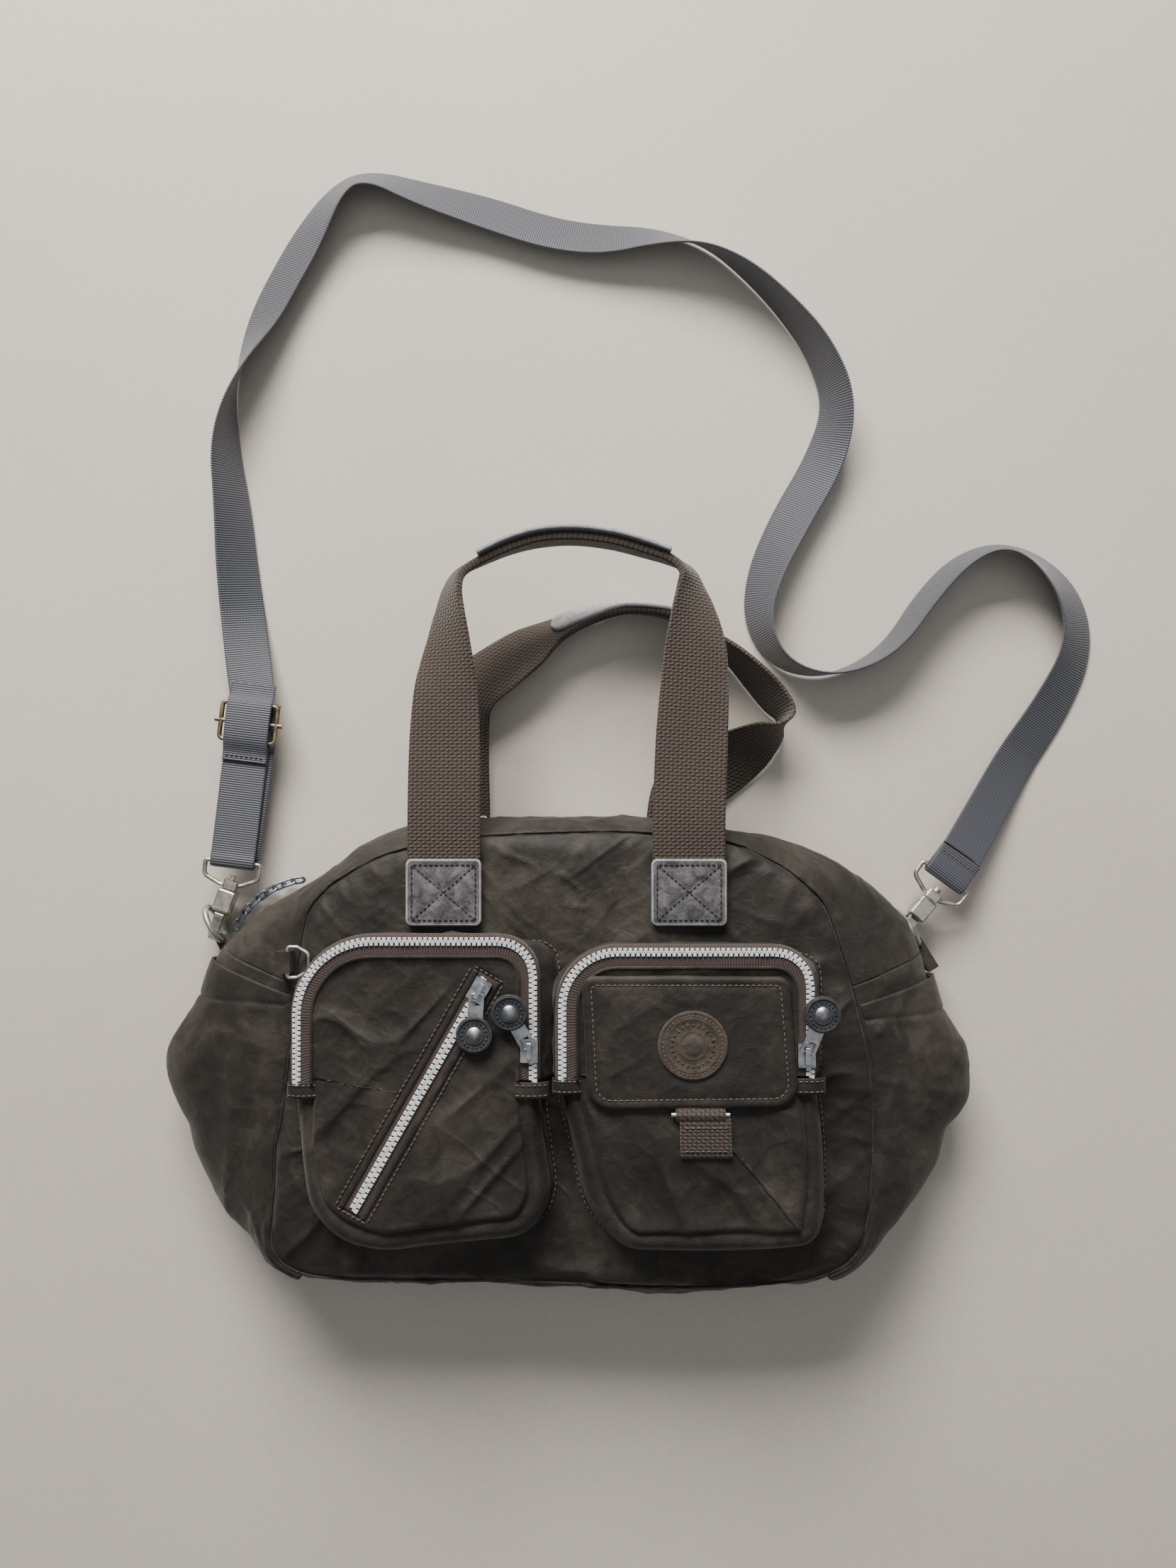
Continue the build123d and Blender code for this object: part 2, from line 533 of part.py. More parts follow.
def snap_hook():
    chest = box((1.6, 14.5), (-5.2, 5.2), (11.5, 20))
    chest = fillet(chest.edges(), 1.4)
    frame_outline = make_face(Polyline((7, 12), (16, 18.6), (27, 18.6), (31.4, 14.6), (31.4, 4.2), (28.2, 0.9),
                                       (JAW_TIP_X, 0.9), (JAW_TIP_X, 3.6), (27.3, 3.6), (28.4, 5), (28.4, 12),
                                       (26.6, 13.6), (14, 13.6), (12.4, 8), (11.4, 4.9), (6.6, 4.9), (5.4, 8),
                                       close=True))
    upright = Plane.XZ * frame_outline
    frame = extrude(upright, HOOK_HALF, both=True)
    stem = rod((-4.6, 0, HOOK_Z), (2.2, 0, HOOK_Z), 1.5)
    head = rod((-6.4, 0, HOOK_Z), (-4.4, 0, HOOK_Z), 2.4)
    gate_slot = box((5, 17), (-1.5, 1.5), (-1, 9.4))
    jaw_notch = box((JAW_TIP_X - 1, JAW_TIP_X + 1.9), (-1.5, 1.5), (1.6, 9))
    pin = rod((GATE_PIVOT[0], -HOOK_HALF, GATE_PIVOT[1]), (GATE_PIVOT[0], HOOK_HALF, GATE_PIVOT[1]), 0.8)
    hook = chest + frame + stem + head - gate_slot - jaw_notch
    return (hook + pin).solids().sort_by(SortBy.VOLUME)[-1]


def snap_gate():
    """The sprung gate: it turns on the hook's pin and closes onto the jaw's notch."""
    eye = rod((GATE_PIVOT[0], -1.2, GATE_PIVOT[1]), (GATE_PIVOT[0], 1.2, GATE_PIVOT[1]), 1.75)
    outline = make_face(Polyline((8.2, 7.6), (10.4, 7.9), (17.4, 4.2), (17.4, 1.9), (16.2, 1.9), (7.6, 5.6),
                                 close=True))
    bar = extrude(Plane.XZ * outline, 1.2, both=True)
    bore = rod((GATE_PIVOT[0], -2, GATE_PIVOT[1]), (GATE_PIVOT[0], 2, GATE_PIVOT[1]), 0.85)
    return eye + bar - bore


def strap_loop():
    """The wire loop for the webbing, with the collar that the hook's stem turns in."""
    half = 15.5
    path = FilletPolyline((0, half), (-LOOP_DEPTH + 1.5, half), (-LOOP_DEPTH - 3, 6), (-LOOP_DEPTH - 3, -6),
                          (-LOOP_DEPTH + 1.5, -half), (0, -half), radius=[1.6, 4, 4, 4, 4, 1.6], close=True)
    start = Plane(origin=path @ 0, z_dir=path % 0)
    loop = Pos(LOOP_DEPTH, 0, 0) * sweep(start * Circle(LOOP_WIRE), path=path)
    collar = box((-4.0, 0.9), (-4.2, 4.2), (-2.9, 2.9))
    collar = fillet(collar.edges().filter_by(Axis.X), 1.2)
    return loop, collar


hook_shape = snap_hook()
gate_shape = snap_gate()
loop_shape, collar_shape = strap_loop()
loops = []
bars = []
hooks = (("left", LEFT_RING, LEFT_HOOK_AWAY, LEFT_STRAP_AWAY), ("right", RIGHT_RING, RIGHT_HOOK_AWAY,
                                                                RIGHT_STRAP_AWAY))
for name, ring, away, strap_away in hooks:
    collar_at = (ring[0] + RING_ALONG_HOOK * away[0], ring[1] + RING_ALONG_HOOK * away[1])
    hook_frame = level_plane((*collar_at, 0), (-away[0], -away[1]))
    save(hook_frame * hook_shape, name + "_hook")
    save(hook_frame * gate_shape, name + "_gate")
    collar = hook_frame * (Pos(0, 0, HOOK_Z) * collar_shape)
    loop = level_plane((*collar_at, HOOK_Z), strap_away) * (Pos(LOOP_OFFSET, 0, 0) * loop_shape)
    bore = hook_frame * rod((-9, 0, HOOK_Z), (3, 0, HOOK_Z), 1.6)
    head_room = hook_frame * rod((-9, 0, HOOK_Z), (-4.1, 0, HOOK_Z), 2.7)
    loops.append(loop + collar - bore - head_room)
    reach = LOOP_DEPTH + LOOP_OFFSET
    bars.append((collar_at[0] + reach * strap_away[0], collar_at[1] + reach * strap_away[1]))
    pivot = hook_frame.from_local_coords(Vector(GATE_PIVOT[0], 0, GATE_PIVOT[1]))
    print(name, "collar", tuple(round(v, 2) for v in collar_at), "gate pivot",
          tuple(round(v, 2) for v in pivot), "bar", tuple(round(v, 2) for v in bars[-1]))
save(group(loops), "hook_loops")


# ---- Shoulder strap ----

def folded_end(bar, away, length):
    """Two layers of webbing sewn together, with the loop's bar in their fold."""
    frame = level_plane((*bar, HOOK_Z), away)
    half = STRAP_WIDTH / 2
    layers = box((0, length), (-half, half), (-STRAP_THICK, STRAP_THICK))
    fold = rod((0, -half, 0), (0, half, 0), LOOP_WIRE + STRAP_THICK)
    bore = rod((0, -half, 0), (0, half, 0), LOOP_WIRE + 0.05)
    return frame * (layers + fold - bore)


LEFT_END_LENGTH = 92.0
RIGHT_END_LENGTH = 16.0
ADJUSTER_ALONG = 79.0
left_end = folded_end(bars[0], LEFT_STRAP_AWAY, LEFT_END_LENGTH)
right_end = folded_end(bars[1], RIGHT_STRAP_AWAY, RIGHT_END_LENGTH)

adjuster_frame = level_plane((*bars[0], HOOK_Z), LEFT_STRAP_AWAY)
ring_path = FilletPolyline((-10.5, 15.6), (10.5, 15.6), (10.5, -15.6), (-10.5, -15.6), radius=2.5, close=True)
ring_start = Plane(origin=ring_path @ 0, z_dir=ring_path % 0)
adjuster = Pos(0, 0, STRAP_THICK + 1.3) * sweep(ring_start * Circle(1.3), path=ring_path)
adjuster += rod((0, -19, STRAP_THICK + 1.3), (0, 19, STRAP_THICK + 1.3), 1.3)
save(adjuster_frame * (Pos(ADJUSTER_ALONG, 0, 0) * adjuster), "strap_adjuster")

left_join = (bars[0][0] + LEFT_END_LENGTH * LEFT_STRAP_AWAY[0],
             bars[0][1] + LEFT_END_LENGTH * LEFT_STRAP_AWAY[1])
right_join = (bars[1][0] + RIGHT_END_LENGTH * RIGHT_STRAP_AWAY[0],
              bars[1][1] + RIGHT_END_LENGTH * RIGHT_STRAP_AWAY[1])
strap_route = [
    right_join, (238, 138), (256, 167.5), (276.5, 198), (291.5, 230), (287.5, 259), (268, 281), (244.5, 290),
    (222.5, 281), (203, 260), (185, 233), (163, 219), (140, 215), (118.5, 223.5), (107, 245.5), (111, 272.5),
    (127, 305), (147.5, 339.5), (154.5, 371), (142.5, 401), (122.5, 425.5), (100.5, 446), (76.5, 460.5),
    (48, 465.5), (18, 464.5), (-12, 469), (-46.5, 480.5), (-84, 490.5), (-112, 499.5), (-130, 494),
    (-150, 464), (-173, 422), (-190, 379), (-194.5, 345), (-190.5, 312), (-188.5, 276), (-184.5, 238),
    left_join,
]
print("right join", tuple(round(v, 2) for v in right_join), "left join", tuple(round(v, 2) for v in left_join))
route_radii = corner_radii(strap_route)
print("strap radii", [round(r, 1) for r in route_radii])
strap_run = standing_ribbon(strap_route, STRAP_THICK, FLOOR_GAP, FLOOR_GAP + STRAP_WIDTH)
save(strap_run, "strap_run")
save(group([left_end, right_end]), "strap_ends")
strap_path = FilletPolyline(*strap_route, radius=route_radii)
print("strap run length", round(strap_path.length, 1), "volume ratio",
      round(strap_run.volume / (strap_path.length * STRAP_THICK * STRAP_WIDTH), 4))
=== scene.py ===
import math
import bmesh
import bpy
import numpy as np
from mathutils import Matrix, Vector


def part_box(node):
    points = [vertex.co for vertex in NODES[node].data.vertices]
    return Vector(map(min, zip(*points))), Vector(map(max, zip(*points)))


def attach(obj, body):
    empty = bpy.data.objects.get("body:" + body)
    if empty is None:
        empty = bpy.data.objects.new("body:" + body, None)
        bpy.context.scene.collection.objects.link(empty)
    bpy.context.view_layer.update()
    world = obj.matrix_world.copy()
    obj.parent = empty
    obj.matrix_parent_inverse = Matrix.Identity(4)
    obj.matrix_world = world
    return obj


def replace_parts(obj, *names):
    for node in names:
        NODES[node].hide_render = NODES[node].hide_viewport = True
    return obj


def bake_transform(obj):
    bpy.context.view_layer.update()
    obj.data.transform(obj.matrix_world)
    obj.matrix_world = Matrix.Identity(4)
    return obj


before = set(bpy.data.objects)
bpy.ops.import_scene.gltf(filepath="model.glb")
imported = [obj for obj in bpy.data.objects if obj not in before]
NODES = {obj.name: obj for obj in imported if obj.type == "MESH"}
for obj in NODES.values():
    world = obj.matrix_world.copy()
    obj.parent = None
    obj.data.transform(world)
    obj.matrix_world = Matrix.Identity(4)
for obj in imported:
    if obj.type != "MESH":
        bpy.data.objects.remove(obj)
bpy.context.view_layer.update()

# Lengths below are in millimetres and are turned into metres when a mesh is made.
MM = 0.001
UP = np.array([0.0, 0.0, 1.0])
FLOOR_GAP = 0.35        # cloth and webbing stop this far above the floor

FABRIC_DARK = (0.0092, 0.0074, 0.0057)
FABRIC_MID = (0.0205, 0.0163, 0.0125)
FABRIC_LIGHT = (0.050, 0.0405, 0.032)
THREAD = (0.155, 0.122, 0.085)
WEB_DARK = (0.040, 0.030, 0.024)
WEB_LIGHT = (0.135, 0.105, 0.084)
STRAP_DARK = (0.030, 0.032, 0.040)
STRAP_LIGHT = (0.108, 0.113, 0.134)
SUEDE_DARK = (0.050, 0.048, 0.050)
SUEDE_LIGHT = (0.185, 0.180, 0.186)


# ---- Camera, floor and light, in metres ----

CAMERA_AT = (0.0113, 0.154, 0.680)
CAMERA_LENS = 27.04
FLOOR_HALF = 3.0


def make_camera():
    camera = bpy.data.cameras.new("camera")
    camera.lens = CAMERA_LENS
    camera.sensor_width = 36.0
    camera.clip_start = 0.01
    seen_from = bpy.data.objects.new("camera", camera)
    seen_from.location = CAMERA_AT
    bpy.context.scene.collection.objects.link(seen_from)
    bpy.context.scene.camera = seen_from


def make_light(name, at, towards, size, power, colour):
    lamp = bpy.data.lights.new(name, "AREA")
    lamp.shape = "RECTANGLE"
    lamp.size, lamp.size_y = size
    lamp.energy = power
    lamp.color = colour
    holder = bpy.data.objects.new(name, lamp)
    holder.location = at
    aim = np.array(towards) - np.array(at)
    flat = math.hypot(aim[0], aim[1])
    holder.rotation_euler = (math.atan2(flat, -aim[2]), 0, math.atan2(-aim[0], aim[1]))
    bpy.context.scene.collection.objects.link(holder)


# ---- Material helpers ----

class Look:
    """A procedural material whose nodes are added one by one."""

    def __init__(self, name, roughness, metallic=0.0, sheen=0.0, specular=0.5):
        self.material = bpy.data.materials.new(name)
        self.material.use_nodes = True
        self.nodes = self.material.node_tree.nodes
        self.links = self.material.node_tree.links
        self.shader = self.nodes["Principled BSDF"]
        self.shader.inputs["Roughness"].default_value = roughness
        self.shader.inputs["Metallic"].default_value = metallic
        self.shader.inputs["Specular IOR Level"].default_value = specular
        if sheen:
            self.shader.inputs["Sheen Weight"].default_value = sheen
            self.shader.inputs["Sheen Roughness"].default_value = 0.45
        self.coords = self.nodes.new("ShaderNodeTexCoord")
        self.normal = None

    def put(self, socket, value):
        if isinstance(value, bpy.types.NodeSocket):
            self.links.new(value, socket)
        else:
            socket.default_value = value

    def place(self, kind="Object", scale=(1, 1, 1), turn=0.0):
        mapping = self.nodes.new("ShaderNodeMapping")
        self.links.new(self.coords.outputs[kind], mapping.inputs["Vector"])
        mapping.inputs["Scale"].default_value = scale
        mapping.inputs["Rotation"].default_value = (0, 0, math.radians(turn))
        return mapping.outputs["Vector"]

    def noise(self, where, scale, detail=3.0, roughness=0.55, distortion=0.0):
        node = self.nodes.new("ShaderNodeTexNoise")
        self.links.new(where, node.inputs["Vector"])
        node.inputs["Scale"].default_value = scale
        node.inputs["Detail"].default_value = detail
        node.inputs["Roughness"].default_value = roughness
        node.inputs["Distortion"].default_value = distortion
        return node.outputs["Fac"]

    def wave(self, where, scale, direction="X", profile="SIN", distortion=0.0):
        node = self.nodes.new("ShaderNodeTexWave")
        self.links.new(where, node.inputs["Vector"])
        node.bands_direction = direction
        node.wave_profile = profile
        node.inputs["Scale"].default_value = scale
        node.inputs["Distortion"].default_value = distortion
        node.inputs["Detail"].default_value = 0.0
        return node.outputs["Fac"]

    def maths(self, operation, a, b=0.0):
        node = self.nodes.new("ShaderNodeMath")
        node.operation = operation
        self.put(node.inputs[0], a)
        self.put(node.inputs[1], b)
        return node.outputs[0]

    def shares(self, a, share_a, b, share_b):
        """Two values, each times its share, added."""
        return self.maths("ADD", self.maths("MULTIPLY", a, share_a), self.maths("MULTIPLY", b, share_b))

    def ramp(self, factor, *stops):
        node = self.nodes.new("ShaderNodeValToRGB")
        self.links.new(factor, node.inputs["Fac"])
        elements = node.color_ramp.elements
        while len(elements) < len(stops):
            elements.new(0.5)
        for element, (at, colour) in zip(elements, stops):
            element.position = at
            element.color = (*colour, 1.0)
        return node.outputs["Color"]

    def blend(self, factor, a, b, kind="MIX"):
        node = self.nodes.new("ShaderNodeMixRGB")
        node.blend_type = kind
        self.put(node.inputs["Fac"], factor)
        self.put(node.inputs["Color1"], a if isinstance(a, bpy.types.NodeSocket) else (*a, 1.0))
        self.put(node.inputs["Color2"], b if isinstance(b, bpy.types.NodeSocket) else (*b, 1.0))
        return node.outputs["Color"]

    def bump(self, height, distance, strength=1.0):
        node = self.nodes.new("ShaderNodeBump")
        node.inputs["Strength"].default_value = strength
        node.inputs["Distance"].default_value = distance
        self.links.new(height, node.inputs["Height"])
        if self.normal is not None:
            self.links.new(self.normal, node.inputs["Normal"])
        self.normal = node.outputs["Normal"]

    def done(self, colour):
        self.links.new(colour, self.shader.inputs["Base Color"])
        if self.normal is not None:
            self.links.new(self.normal, self.shader.inputs["Normal"])
        return self.material


def cloth_look(name, dark, mid, light):
    """Crinkled nylon twill: uneven dye, rubbed high spots, fine creases and a diagonal weave."""
    look = Look(name, 0.58, sheen=0.10, specular=0.35)
    place = look.place()
    dye = look.noise(place, 17, 5, 0.6, 0.4)
    rubbed = look.noise(place, 75, 4, 0.65, 0.8)
    amount = look.shares(dye, 0.62, rubbed, 0.38)
    colour = look.ramp(amount, (0.38, dark), (0.50, mid), (0.63, light))
    twill = look.wave(look.place(turn=32), 900, "X")
    colour = look.blend(look.maths("MULTIPLY", twill, 0.12), colour, light)
    look.bump(look.noise(place, 110, 3, 0.5, 1.2), 0.0009, 0.6)
    look.bump(look.noise(place, 420, 3, 0.6, 0.6), 0.0002, 0.5)
    look.bump(twill, 0.00007, 0.6)
    return look.done(colour)


def webbing_look(name, dark, light, across, along, depth):
    """Woven webbing: warp cords across the width and picks along it, laid as offset diamonds."""
    look = Look(name, 0.85, sheen=0.25, specular=0.25)
    place = look.place("UV")
    warp = look.wave(place, 1000 * math.pi / (across * 10), "Y")
    pick = look.wave(place, 1000 * math.pi / (along * 10), "X")
    cross = look.wave(look.place("UV", turn=38), 1000 * math.pi / (along * 12.0), "X")
    weave = look.maths("MULTIPLY", look.maths("ADD", warp, look.maths("MULTIPLY", cross, 0.8)), 0.5)
    weave = look.maths("MULTIPLY", weave, look.maths("ADD", look.maths("MULTIPLY", pick, 0.6), 0.4))
    fibre = look.noise(look.place(), 900, 3, 0.7)
    wear = look.noise(look.place(), 28, 4, 0.6)
    tone = look.shares(weave, 0.75, fibre, 0.3)
    colour = look.ramp(tone, (0.12, dark), (0.75, light))
    colour = look.blend(look.maths("MULTIPLY", wear, 0.35), colour, dark, "MULTIPLY")
    look.bump(weave, depth, 1.0)
    look.bump(fibre, 0.0002, 0.5)
    return look.done(colour)


def strap_look():
    """Smooth ribbed nylon webbing: fine ribs across it, with a lighter sheen."""
    look = Look("strap_webbing", 0.5, sheen=0.3, specular=0.5)
    place = look.place("UV")
    rib = look.wave(place, 1000 * math.pi / 13.0, "X")
    warp = look.wave(place, 1000 * math.pi / 17.0, "Y")
    weave = look.shares(rib, 0.85, warp, 0.15)
    wear = look.noise(look.place(), 30, 3, 0.6)
    colour = look.ramp(weave, (0.05, STRAP_DARK), (0.95, STRAP_LIGHT))
    colour = look.blend(look.maths("MULTIPLY", wear, 0.3), colour, (0.070, 0.072, 0.084))
    look.bump(weave, 0.00028, 0.9)
    return look.done(colour)


def suede_look(name, dark, light, scale=1.0, rough=0.0009):
    look = Look(name, 0.92, sheen=0.4, specular=0.15)
    place = look.place()
    worn = look.noise(place, 120 * scale, 6, 0.7, 0.8)
    nap = look.noise(place, 700, 3, 0.7)
    colour = look.ramp(look.shares(worn, 0.75, nap, 0.25), (0.38, dark), (0.66, light))
    look.bump(worn, rough, 0.9)
    look.bump(nap, 0.0002, 0.8)
    return look.done(colour)


def metal_look(name, dark, light, roughness):
    """Plated metal with a dull patina in patches and fine scratches."""
    look = Look(name, roughness, metallic=1.0)
    place = look.place()
    patina = look.noise(place, 160, 5, 0.65, 0.3)
    scratch = look.noise(look.place(scale=(1, 9, 3)), 420, 2, 0.6)
    colour = look.ramp(look.shares(patina, 0.8, scratch, 0.2), (0.34, dark), (0.58, light))
    rough = look.maths("ADD", look.maths("MULTIPLY", patina, 0.35), roughness - 0.14)
    look.links.new(rough, look.shader.inputs["Roughness"])
    look.bump(scratch, 0.00008, 0.6)
    look.bump(patina, 0.0002, 0.5)
    return look.done(colour)


def plain_look(name, dark, light, roughness, grain, depth, sheen=0.0):
    look = Look(name, roughness, sheen=sheen)
    place = look.place()
    spots = look.noise(place, grain, 4, 0.6)
    colour = look.ramp(spots, (0.35, dark), (0.65, light))
    look.bump(spots, depth, 0.7)
    return look.done(colour)


def tape_look():
    """Herringbone zip tape."""
    look = Look("zip_tape", 0.8, sheen=0.2, specular=0.3)
    ribs = look.wave(look.place("UV", turn=35), 1000 * math.pi / 12.0, "X")
    fibre = look.noise(look.place(), 500, 3, 0.6)
    tone = look.shares(ribs, 0.6, fibre, 0.4)
    colour = look.ramp(tone, (0.2, (0.028, 0.020, 0.018)), (0.8, (0.088, 0.064, 0.056)))
    look.bump(ribs, 0.0002, 0.8)
    return look.done(colour)


def floor_look():
    look = Look("floor", 0.6, specular=0.3)
    place = look.place()
    cloud = look.noise(place, 3.0, 5, 0.6)
    speck = look.noise(place, 260, 3, 0.7)
    tone = look.shares(cloud, 0.6, speck, 0.4)
    return look.done(look.ramp(tone, (0.3, (0.58, 0.525, 0.455)), (0.7, (0.68, 0.622, 0.548))))


LOOKS = {
    "bag_fabric": cloth_look("bag_fabric", FABRIC_DARK, FABRIC_MID, FABRIC_LIGHT),
    "lining_fabric": plain_look("lining_fabric", (0.05, 0.045, 0.04), (0.09, 0.08, 0.07), 0.8, 300, 0.0002,
                                0.2),
    "zip_tape": tape_look(),
    "zip_teeth": plain_look("zip_teeth", (0.60, 0.60, 0.62), (0.80, 0.80, 0.81), 0.3, 200, 0.00003),
    "slider_metal": metal_look("slider_metal", (0.20, 0.21, 0.22), (0.50, 0.51, 0.52), 0.38),
    "disc_rubber": plain_look("disc_rubber", (0.018, 0.019, 0.022), (0.045, 0.047, 0.052), 0.6, 260, 0.0001),
    "handle_webbing": webbing_look("handle_webbing", WEB_DARK, WEB_LIGHT, 2.3, 1.8, 0.0008),
    "suede": suede_look("suede", SUEDE_DARK, SUEDE_LIGHT),
    "suede_edge": suede_look("suede_edge", (0.22, 0.22, 0.225), (0.42, 0.42, 0.43), 1.0, 0.0001),
    "badge_leather": suede_look("badge_leather", (0.040, 0.031, 0.024), (0.095, 0.076, 0.060), 1.4),
    "strap_webbing": strap_look(),
    "ring_metal": metal_look("ring_metal", (0.22, 0.25, 0.24), (0.55, 0.58, 0.55), 0.42),
    "hook_metal": metal_look("hook_metal", (0.36, 0.32, 0.26), (0.72, 0.68, 0.60), 0.34),
    "brass_metal": metal_look("brass_metal", (0.14, 0.10, 0.06), (0.38, 0.30, 0.19), 0.42),
    "chain_metal": metal_look("chain_metal", (0.18, 0.21, 0.26), (0.45, 0.50, 0.57), 0.40),
    "fastener_pad": plain_look("fastener_pad", (0.02, 0.017, 0.014), (0.05, 0.04, 0.033), 0.9, 900, 0.0004),
    "patch_thread": plain_look("patch_thread", (0.016, 0.012, 0.010), (0.040, 0.030, 0.024), 0.8, 900,
                               0.0001),
    "thread": plain_look("thread", (0.075, 0.054, 0.036), THREAD, 0.8, 900, 0.0001),
}


# ---- Geometry helpers ----

def lattice_value(cell):
    mixed = (cell[..., 0] * 73856093) ^ (cell[..., 1] * 19349663) ^ (cell[..., 2] * 83492791)
    mixed = (mixed & 0x7FFFFFFF) * 1103515245 + 12345
    mixed = ((mixed >> 7) ^ mixed) & 0xFFFFFF
    return mixed / float(0xFFFFFF) * 2 - 1


def noise(points, size, seed=0):
    """Smooth random values from -1 to 1, with bumps about `size` across."""
    place = np.asarray(points, float) / size + seed * 31.7
    cell = np.floor(place).astype(np.int64)
    part = place - cell
    part = part * part * part * (part * (part * 6 - 15) + 10)
    total = np.zeros(place.shape[:-1])
    for corner in range(8):
        step = np.array([(corner >> k) & 1 for k in range(3)])
        share = np.prod(np.where(step == 1, part, 1 - part), axis=-1)
        total += share * lattice_value(cell + step)
    return total


def creases(points, size, seed, sharp=4.0):
    """Thin ridges like the folds of soft cloth, from 0 to 1."""
    warp = np.stack([noise(points, size * 1.3, seed + k) for k in (1, 2, 3)], axis=-1)
    return (1 - np.abs(noise(points + warp * size * 0.55, size, seed + 4))) ** sharp


def drawn_out(points, turn, stretch):
    """The points in a frame turned about Z and shortened along its X, which draws folds out that way."""
    c, s = math.cos(math.radians(turn)), math.sin(math.radians(turn))
    turned = np.stack([(points[..., 0] * c + points[..., 1] * s) / stretch,
                       points[..., 1] * c - points[..., 0] * s, points[..., 2]], axis=-1)
    return turned


def wrinkles(points, seed, large=1.8, small=0.8, turn=38):
    """How far soft cloth stands off its smooth form: long folds two ways, with calm areas between them."""
    calm = smoothstep(noise(points, 52, seed + 50), -0.45, 0.55)
    first, second = drawn_out(points, turn, 2.6), drawn_out(points, turn - 82, 2.2)
    height = 1.35 * large * (creases(first, 26, seed, 3.6) - 0.35) * (0.35 + 0.65 * calm)
    height += large * 0.7 * noise(points, 34, seed + 9)
    height += 0.8 * small * (creases(second, 13, seed + 20, 3.0) - 0.35) * (1.1 - 0.8 * calm)
    height += 0.25 * small * (creases(first, 8, seed + 25, 2.5) - 0.4)
    return height


def smoothstep(value, low, high):
    t = np.clip((np.asarray(value, float) - low) / (high - low), 0, 1)
    return t * t * (3 - 2 * t)


def catmull(points, per_span, closed):
    """A smooth line through the points."""
    points = np.array(points, float)
    if closed:
        padded = np.vstack([points[-1:], points, points[:2]])
    else:
        padded = np.vstack([2 * points[:1] - points[1:2], points, 2 * points[-1:] - points[-2:-1]])
    t = np.linspace(0, 1, per_span, endpoint=False)[:, None]
    spans = []
    for a, b, c, d in zip(padded, padded[1:], padded[2:], padded[3:]):
        spans.append(0.5 * (2 * b + (c - a) * t + (2 * a - 5 * b + 4 * c - d) * t**2
                            + (3 * b - a - 3 * c + d) * t**3))
    line = np.vstack(spans)
    return line if closed else np.vstack([line, points[-1:]])


def spaced(line, count, closed=False):
    """The line again, as evenly spaced points."""
    if closed:
        line = np.vstack([line, line[:1]])
    reach = reach_along(line)
    at = np.linspace(0, reach[-1], count, endpoint=not closed)
    return np.stack([np.interp(at, reach, line[:, k]) for k in range(line.shape[1])], axis=1)


def smooth_line(points, count, closed=False):
    return spaced(catmull(points, 24, closed), count, closed)


def reach_along(line):
    """How far along the line each point is."""
    return np.concatenate([[0], np.cumsum(np.linalg.norm(np.diff(line, axis=0), axis=1))])


def line_length(line):
    return float(np.linalg.norm(np.diff(line, axis=0), axis=1).sum())


def at_height(flat, z):
    """Level points as points in space, all at one height or each at its own."""
    return np.column_stack([flat, np.broadcast_to(z, (len(flat),))])


def level_normals(outline):
    """Outward directions of a closed clockwise outline."""
    along = np.roll(outline, -1, axis=0) - np.roll(outline, 1, axis=0)
    out = np.stack([-along[:, 1], along[:, 0]], axis=1)
    return out / np.linalg.norm(out, axis=1, keepdims=True)


def grid_normals(grid, closed):
    down = np.gradient(grid, axis=0)
    if closed:
        along = (np.roll(grid, -1, axis=1) - np.roll(grid, 1, axis=1)) / 2
    else:
        along = np.gradient(grid, axis=1)
    normal = np.cross(along, down)
    return normal / np.maximum(np.linalg.norm(normal, axis=-1, keepdims=True), 1e-9)


def make_piece(name, verts, faces, look, body="bag", smooth=True, uvs=None):
    """A mesh piece from millimetre points, riding on a body."""
    mesh = bpy.data.meshes.new(name)
    corners = [tuple(v) for v in np.asarray(verts, float) * MM]
    mesh.from_pydata(corners, [], [tuple(map(int, f)) for f in faces])
    mesh.materials.append(LOOKS[look])
    if smooth:
        mesh.shade_smooth()
    if uvs is not None:
        layer = mesh.uv_layers.new(name="UVMap")
        corner = np.zeros(len(mesh.loops), np.int32)
        mesh.loops.foreach_get("vertex_index", corner)
        layer.data.foreach_set("uv", (np.asarray(uvs, float) * MM)[corner].ravel())
    piece = bpy.data.objects.new(name, mesh)
    bpy.context.scene.collection.objects.link(piece)
    if body:
        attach(piece, body)
    return piece


def grid_faces(rows, columns, closed=False, keep=None, flip=False):
    faces = []
    for row in range(rows - 1):
        for column in range(columns if closed else columns - 1):
            right = (column + 1) % columns
            if keep is not None and not keep[column]:
                continue
            face = (row * columns + column, row * columns + right, (row + 1) * columns + right,
                    (row + 1) * columns + column)
            faces.append(face[::-1] if flip else face)
    return faces


def cloth_piece(name, grid, look, closed=False, keep=None, flip=False, thick=1.0, body="bag"):
    """A cloth surface from a grid of points, given its thickness inwards."""
    rows, columns = grid.shape[:2]
    faces = grid_faces(rows, columns, closed, keep, flip)
    used = np.unique(np.array(faces))
    index = -np.ones(rows * columns, int)
    index[used] = np.arange(len(used))
    piece = make_piece(name, grid.reshape(-1, 3)[used], index[np.array(faces)], look, body)
    thicken(piece, thick)
    return piece


def face_outwards(mesh):
    """Every face of a closed mesh points out of it."""
    work = bmesh.new()
    work.from_mesh(mesh)
    bmesh.ops.recalc_face_normals(work, faces=work.faces)
    work.to_mesh(mesh)
    work.free()


